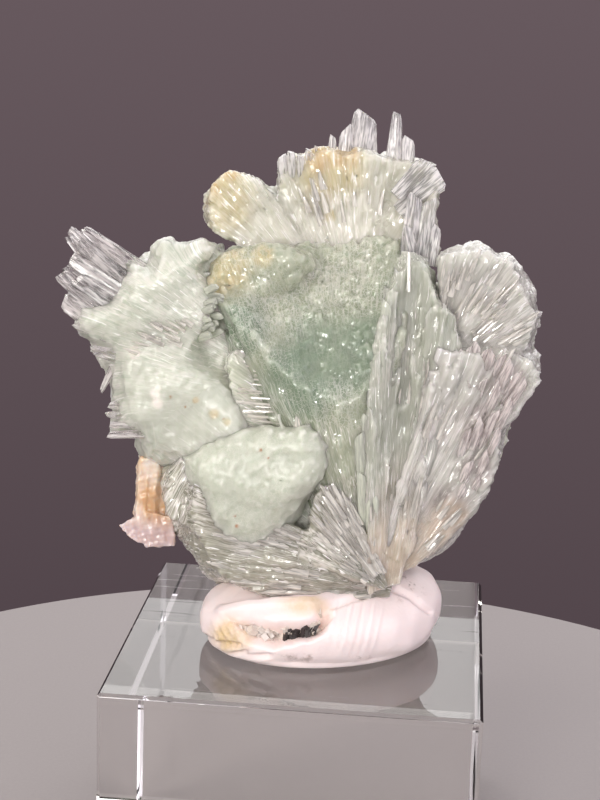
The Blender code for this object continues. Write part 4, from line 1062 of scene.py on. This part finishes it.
# The bright blunt crystals on the right edge of the left body
EDGE_U, EDGE_V = (204, 220), (290, 336)
EDGE_ROOT, EDGE_FRONT = -3.0, -5.0
FROST = [(seen(u - 8, v + 2, EDGE_ROOT),
          seen(u + chance.uniform(2, 8), v + chance.uniform(-5, 3), EDGE_FRONT),
          (1.0, chance.uniform(0.6, 1.0)), 0.8, chance.uniform(-0.2, 0.2))
         for u, v in zip(chance.uniform(*EDGE_U, 14), np.linspace(*EDGE_V, 14))]
clear_blades("aragonite_frost_edge", FROST, cloudy, facets=8)


# Mineral tack
# White putty, kneaded, pressed onto the block and sticking to it, that holds the specimen. The loaf has an
# open fold under a rolled lip at its front, creases at its left end and stretch marks at the right, and the
# stone has soiled it.
TACK_MIDDLE = (1.9, -0.4)
TACK_HALF = (14.0, 10.6)
TACK_HEIGHT = 7.4
TACK_TURN = math.radians(26)
TACK_FULLNESS = 2.5
TACK_FOOT = -0.55
# The loaf rides up this far at its right end, where it holds the foot of the cluster
TACK_LIFT = 3.0
BLOCK_TOP = 25.3
# The mouth of the fold and the line of the lip over it, in the frame, and how the fold leans
MOUTH = [(229, 619), (250, 617), (276, 620), (304, 620), (330, 608), (334, 616), (322, 636), (296, 648),
         (270, 652), (246, 644)]
LIP = [(222, 611), (250, 607), (285, 608), (312, 608), (330, 600)]
LIP_MIDDLE = 272
MOUTH_LEAN = -0.2
MOUTH_DEPTH, LIP_HEIGHT, CREASE_DEPTH, RIPPLE_HEIGHT = 3.0, 1.1, 0.45, 0.06
CREASES = [((203, 634), (216, 643), (238, 646)), ((209, 647), (226, 655), (244, 653)),
           ((228, 664), (246, 658), (268, 657)), ((322, 612), (345, 603), (372, 594)),
           ((392, 590), (410, 596), (432, 612))]
# Soft stains: the middle of each and its half width and height, in pixels
POWDER_STAIN = (232, 636, 24, 22)
BROWN_STAIN = (305, 610, 30, 9)
DARK_STAIN = (400, 588, 30, 13)
GRIME_LINE = 660
STRETCH_MIDDLE = (356, 628)


def stain(u, v, spot, full, none):
    """How much of a stain pixels see, full up to this share of its size and none from that on."""
    return faded(np.hypot((u - spot[0]) / spot[2], (v - spot[1]) / spot[3]), full, none)


around, rings = 340, 128
level = np.sin(np.linspace(-math.pi / 2, math.pi / 2, rings))[:, None]
turn = np.arange(around)[None] * 2 * math.pi / around
held = np.maximum(level, TACK_FOOT)
rise = (held - TACK_FOOT) / (1 - TACK_FOOT)
out = (1 - np.abs(level) ** TACK_FULLNESS) ** (1 / TACK_FULLNESS)
out = np.where(level < TACK_FOOT, out * 0.999, out)
x, y = np.cos(turn) * out, np.sin(turn) * out
lift = TACK_LIFT * rise * np.maximum(0, x - 0.2) ** 2
x, y = x * TACK_HALF[0], y * TACK_HALF[1]
verts = np.stack([TACK_MIDDLE[0] + x * math.cos(TACK_TURN) - y * math.sin(TACK_TURN),
                  TACK_MIDDLE[1] + x * math.sin(TACK_TURN) + y * math.cos(TACK_TURN),
                  BLOCK_TOP + rise * TACK_HEIGHT + lift], axis=-1).reshape(-1, 3)
index = np.arange(rings * around).reshape(rings, around)
after = np.roll(index, -1, axis=1)
faces = np.stack([index[:-1], after[:-1], after[1:], index[1:]], axis=-1).reshape(-1, 4)
tack_mesh = bpy.data.meshes.new("tack")
tack_mesh.from_pydata((verts * MM).tolist(), [], faces.tolist())
ways = moved(tack_mesh, verts)
u, v = pixels_of(verts)
faces_us = (ways @ np.array(ahead) < 0.2) * faded(-(verts[:, 2] - BLOCK_TOP), -1.2, -0.2)
ragged = 0.12 * lumps(verts, 2.2, 11)
mouth = faded(-inward(u, v, MOUTH) + 18 * ragged, -7.5, 0.5)
lip = faded(near_line(u, v, LIP), 2, 10) * faded(np.abs(u - LIP_MIDDLE), 32, 66)
powder = stain(u, v, POWDER_STAIN, 0.4, 1.2)
swell = 0.3 * lumps(verts, 11, 12) + 0.1 * lumps(verts, 3.5, 13)
swell = swell + LIP_HEIGHT * lip * (1 - mouth) * faces_us
for crease in CREASES:
    swell = swell - CREASE_DEPTH * faded(near_line(u, v, crease), 0.4, 4.5) * faces_us
across, down = u - STRETCH_MIDDLE[0], v - STRETCH_MIDDLE[1]
stretched = faded(np.abs(across), 14, 34) * faded(np.abs(down), 16, 34) * faces_us
along = u + 0.22 * down
ripples = np.sin(along * 1.35 + 2 * lumps(verts, 5, 14)) + np.sin(along * 0.8 + 1.0)
swell = swell + powder * 0.12 * lumps(verts, 0.9, 16) + stretched * RIPPLE_HEIGHT * ripples
swell = swell - (MOUTH_DEPTH + 0.5 * lumps(verts, 1.6, 15)) * mouth * faces_us
verts = verts + ways * swell[:, None] * faded(-(verts[:, 2] - BLOCK_TOP), -0.6, 0.0)[:, None]
moved(tack_mesh, verts)
tack_mesh.shade_smooth()
browned = stain(u, v, BROWN_STAIN, 0.3, 1.3) * 0.7
soiled = stain(u, v, DARK_STAIN, 0.2, 1.3)
set_values(tack_mesh, "powder", np.maximum(powder, np.maximum(browned, 0.35 * mouth)) * faces_us)
set_values(tack_mesh, "soiled", np.maximum(soiled, 0.5 * faded(np.abs(v - GRIME_LINE), 2, 8)) * faces_us)
# White putty: soft and dull, with tan powder and dark grit pressed into it
putty, add = new_material("white_putty")
where = add("TexCoord", out="Object")
powder, soiled = (add("Attribute", out="Fac", attribute_name=mask) for mask in ("powder", "soiled"))
cloud = add("TexNoise", {"Vector": where, "Scale": 420.0, "Detail": 5.0, "Roughness": 0.65})
fine = add("TexNoise", {"Vector": where, "Scale": 1900.0, "Detail": 3.0})
soft = add("TexNoise", {"Vector": where, "Scale": 90.0, "Detail": 2.0})
tone = add("Mix", {0: soft, 6: colour("#FAE6E6"), 7: colour("#FDEDEA")}, out=2, data_type="RGBA")
torn = add("Math", {0: cloud, 1: 2.2, 2: -1.35}, operation="MULTIPLY_ADD")
torn = add("Math", {0: torn, 1: powder, 2: powder}, operation="MULTIPLY_ADD", use_clamp=True)
tone = add("Mix", {0: torn, 6: tone, 7: colour("#D9BE90")}, out=2, data_type="RGBA")
speck = add("MapRange", {"Value": cloud, "From Min": 0.56, "From Max": 0.66})
speck = add("Math", {0: speck, 1: soiled}, operation="MULTIPLY", use_clamp=True)
tone = add("Mix", {0: speck, 6: tone, 7: colour("#6E4F38")}, out=2, data_type="RGBA")
grit = add("Math", {0: torn, 1: 0.5, 2: 0.12}, operation="MULTIPLY_ADD")
relief = add("Bump", {"Height": fine, "Strength": grit, "Distance": 0.25 * MM})
dull = add("MapRange", {"Value": torn, "To Min": 0.42, "To Max": 0.85})
shader = add("BsdfPrincipled", {"Base Color": tone, "Roughness": dull, "IOR": 1.45, "Normal": relief,
                                "Subsurface Weight": 0.25, "Subsurface Radius": (1.0, 0.8, 0.7),
                                "Subsurface Scale": 0.8 * MM})
add("OutputMaterial", {"Surface": shader})
dressed(new_object("tack", tack_mesh, putty), "mineral_tack")


# Matrix stone
# A crumb of the rock that the aragonite grew on, pale broken calcite with black splinters of iron ore. It
# is caught in the fold, and the putty alone holds it.
STONE_SPAN, STONE_MIDDLE = (240, 320), (280, 632)
ORE_SPAN, ORE_MIDDLE = (283, 319), (300, 633)
STONE_DEPTH, ORE_LOW, ORE_HIGH = -8.9, -9.8, -9.7
chunks = 150
u = chance.uniform(*STONE_SPAN, chunks)
v = STONE_MIDDLE[1] + (u - STONE_MIDDLE[0]) * math.tan(MOUTH_LEAN) + chance.uniform(-11, 11, chunks)
middle = np.array([seen(a, b, STONE_DEPTH + chance.uniform(-0.6, 0.6)) for a, b in zip(u, v)])
heading = unit(chance.normal(size=(chunks, 3)))
size = chance.uniform(0.4, 1.3, chunks)
half = heading * size[:, None] / 2
pale = rods(middle - half, middle + half, size * 0.9, size * 0.7, taper=0.8, slope=0.2)
splinters = 24
u = chance.uniform(*ORE_SPAN, splinters)
v = ORE_MIDDLE[1] + (u - ORE_MIDDLE[0]) * math.tan(MOUTH_LEAN) + chance.uniform(-6, 6, splinters)
low = np.array([seen(a - chance.uniform(0, 5), b + chance.uniform(2, 9),
                     ORE_LOW + chance.uniform(-0.3, 0.3)) for a, b in zip(u, v)])
high = np.array([seen(a + chance.uniform(0, 6), b - chance.uniform(2, 8),
                      ORE_HIGH + chance.uniform(-0.3, 0.3)) for a, b in zip(u, v)])
black = rods(low, high, chance.uniform(0.2, 0.7, splinters), 0.4, taper=0.9, slope=0.8)
stone_mesh = bpy.data.meshes.new("stone")
stone_mesh.from_pydata((np.concatenate([pale[0], black[0]]) * MM).tolist(), [],
                       np.concatenate([pale[1], black[1] + len(pale[0])]).tolist())
set_values(stone_mesh, "ore", np.arange(len(stone_mesh.vertices)) >= len(pale[0]))
# Broken rock: pale grains that glint a little, and ore as black as soot
stone, add = new_material("calcite_rock_with_iron_ore")
where = add("TexCoord", out="Object")
ore = add("Attribute", out="Fac", attribute_name="ore")
cloud = add("TexNoise", {"Vector": where, "Scale": 700.0, "Detail": 4.0})
tone = add("Mix", {0: cloud, 6: colour("#C9B79F"), 7: colour("#E4E0E2")}, out=2, data_type="RGBA")
dusty = add("Mix", {0: cloud, 6: colour("#171415"), 7: colour("#4A4242")}, out=2, data_type="RGBA")
tone = add("Mix", {0: ore, 6: tone, 7: dusty}, out=2, data_type="RGBA")
dull = add("MapRange", {"Value": cloud, "To Min": 0.3, "To Max": 0.6})
relief = add("Bump", {"Height": cloud, "Strength": 0.4, "Distance": 0.2 * MM})
shader = add("BsdfPrincipled", {"Base Color": tone, "Roughness": dull, "Normal": relief})
add("OutputMaterial", {"Surface": shader})
dressed(new_object("stone", stone_mesh, stone), "matrix_stone")


# Calcite crystals
# Peach calcite that grew on the left foot of the cluster: an upright post of three prisms grown together,
# and a flat rhomb that points out to the left, with a lavender lower face.

# The post's prisms, each with a pixel and a depth at its foot and its top, its width and its thickness
POST = ((142, 516, -1.2, 147, 452, -1.0, 2.0, 2.8), (151, 526, -0.8, 156, 446, -0.8, 2.3, 3.2),
        (162, 526, 0.0, 166, 440, 0.0, 2.0, 3.2))
# The rhomb's near and far corners, each a pixel and a depth
RHOMB = np.array(line_of((119, 525, -1.8), (144, 511, -2.6), (174, 517, -2.4), (174, 546, -2.6),
                         (147, 548, -3.0), (127, 536, -2.6), (126, 523, 0.2), (148, 511, 0.6),
                         (176, 517, 0.8), (176, 544, 0.8), (150, 544, 0.4), (133, 533, 0.2)))
RHOMB_FACES = np.array([(0, 5, 4, 1), (1, 4, 3, 2), (6, 7, 10, 11), (7, 8, 9, 10)]
                       + [(k, (k + 1) % 6, (k + 1) % 6 + 6, k + 6) for k in range(6)])
starts, ends = (np.array([seen(*prism[i:i + 3]) for prism in POST]) for i in (0, 3))
post = rods(starts, ends, [prism[6] for prism in POST], [prism[7] for prism in POST], taper=1.0, slope=0.2,
            sides=6, across=np.broadcast_to((0.0, 1.0, 0.0), starts.shape))
# The lavender tone fades in between these heights, down the rhomb's lower face
LAVENDER_TOP, LAVENDER_FULL = 39.5, 37.0
calcite_mesh, verts, edges = fused("calcite", [post, (RHOMB, RHOMB_FACES)], 0.12)
ways = moved(calcite_mesh, verts)
verts = verts + ways * (0.1 * lumps(verts, 1.6, 31) + 0.05 * lumps(verts, 0.7, 32))[:, None]
moved(calcite_mesh, smoothed(verts, edges, 1, 0.4))
calcite_mesh.shade_smooth()
# Peach calcite: waxy and warm, with fine cleavage lines in its shine
calcite, add = new_material("peach_calcite")
where = add("TexCoord", out="Object")
cloud = add("TexNoise", {"Vector": where, "Scale": 260.0, "Detail": 4.0})
height = add("SeparateXYZ", {0: where}, out="Z")
lines = add("Mapping", {"Vector": where, "Rotation": (0, 0.3, 0), "Scale": (200, 200, 2600)})
lines = add("TexNoise", {"Vector": lines, "Scale": 1.0, "Detail": 2.0})
patch = add("MapRange", {"Value": cloud, "From Min": 0.4, "From Max": 0.62})
tone = add("Mix", {0: patch, 6: colour("#EFE3D8"), 7: colour("#D6AE86")}, out=2, data_type="RGBA")
low = add("MapRange", {"Value": height, "From Min": LAVENDER_TOP * MM, "From Max": LAVENDER_FULL * MM})
low = add("Math", {0: low, 1: 0.65}, operation="MULTIPLY")
tone = add("Mix", {0: low, 6: tone, 7: colour("#C9B8C4")}, out=2, data_type="RGBA")
glint = add("MapRange", {"Value": lines, "To Min": 0.12, "To Max": 0.35})
relief = add("Bump", {"Height": lines, "Strength": 0.4, "Distance": 0.15 * MM})
shader = add("BsdfPrincipled", {"Base Color": tone, "Roughness": glint, "IOR": 1.6, "Normal": relief,
                                "Subsurface Weight": 0.8, "Subsurface Radius": (1.0, 0.8, 0.6),
                                "Subsurface Scale": 1.0 * MM})
add("OutputMaterial", {"Surface": shader})
dressed(new_object("calcite", calcite_mesh, calcite), "calcite_crystals")
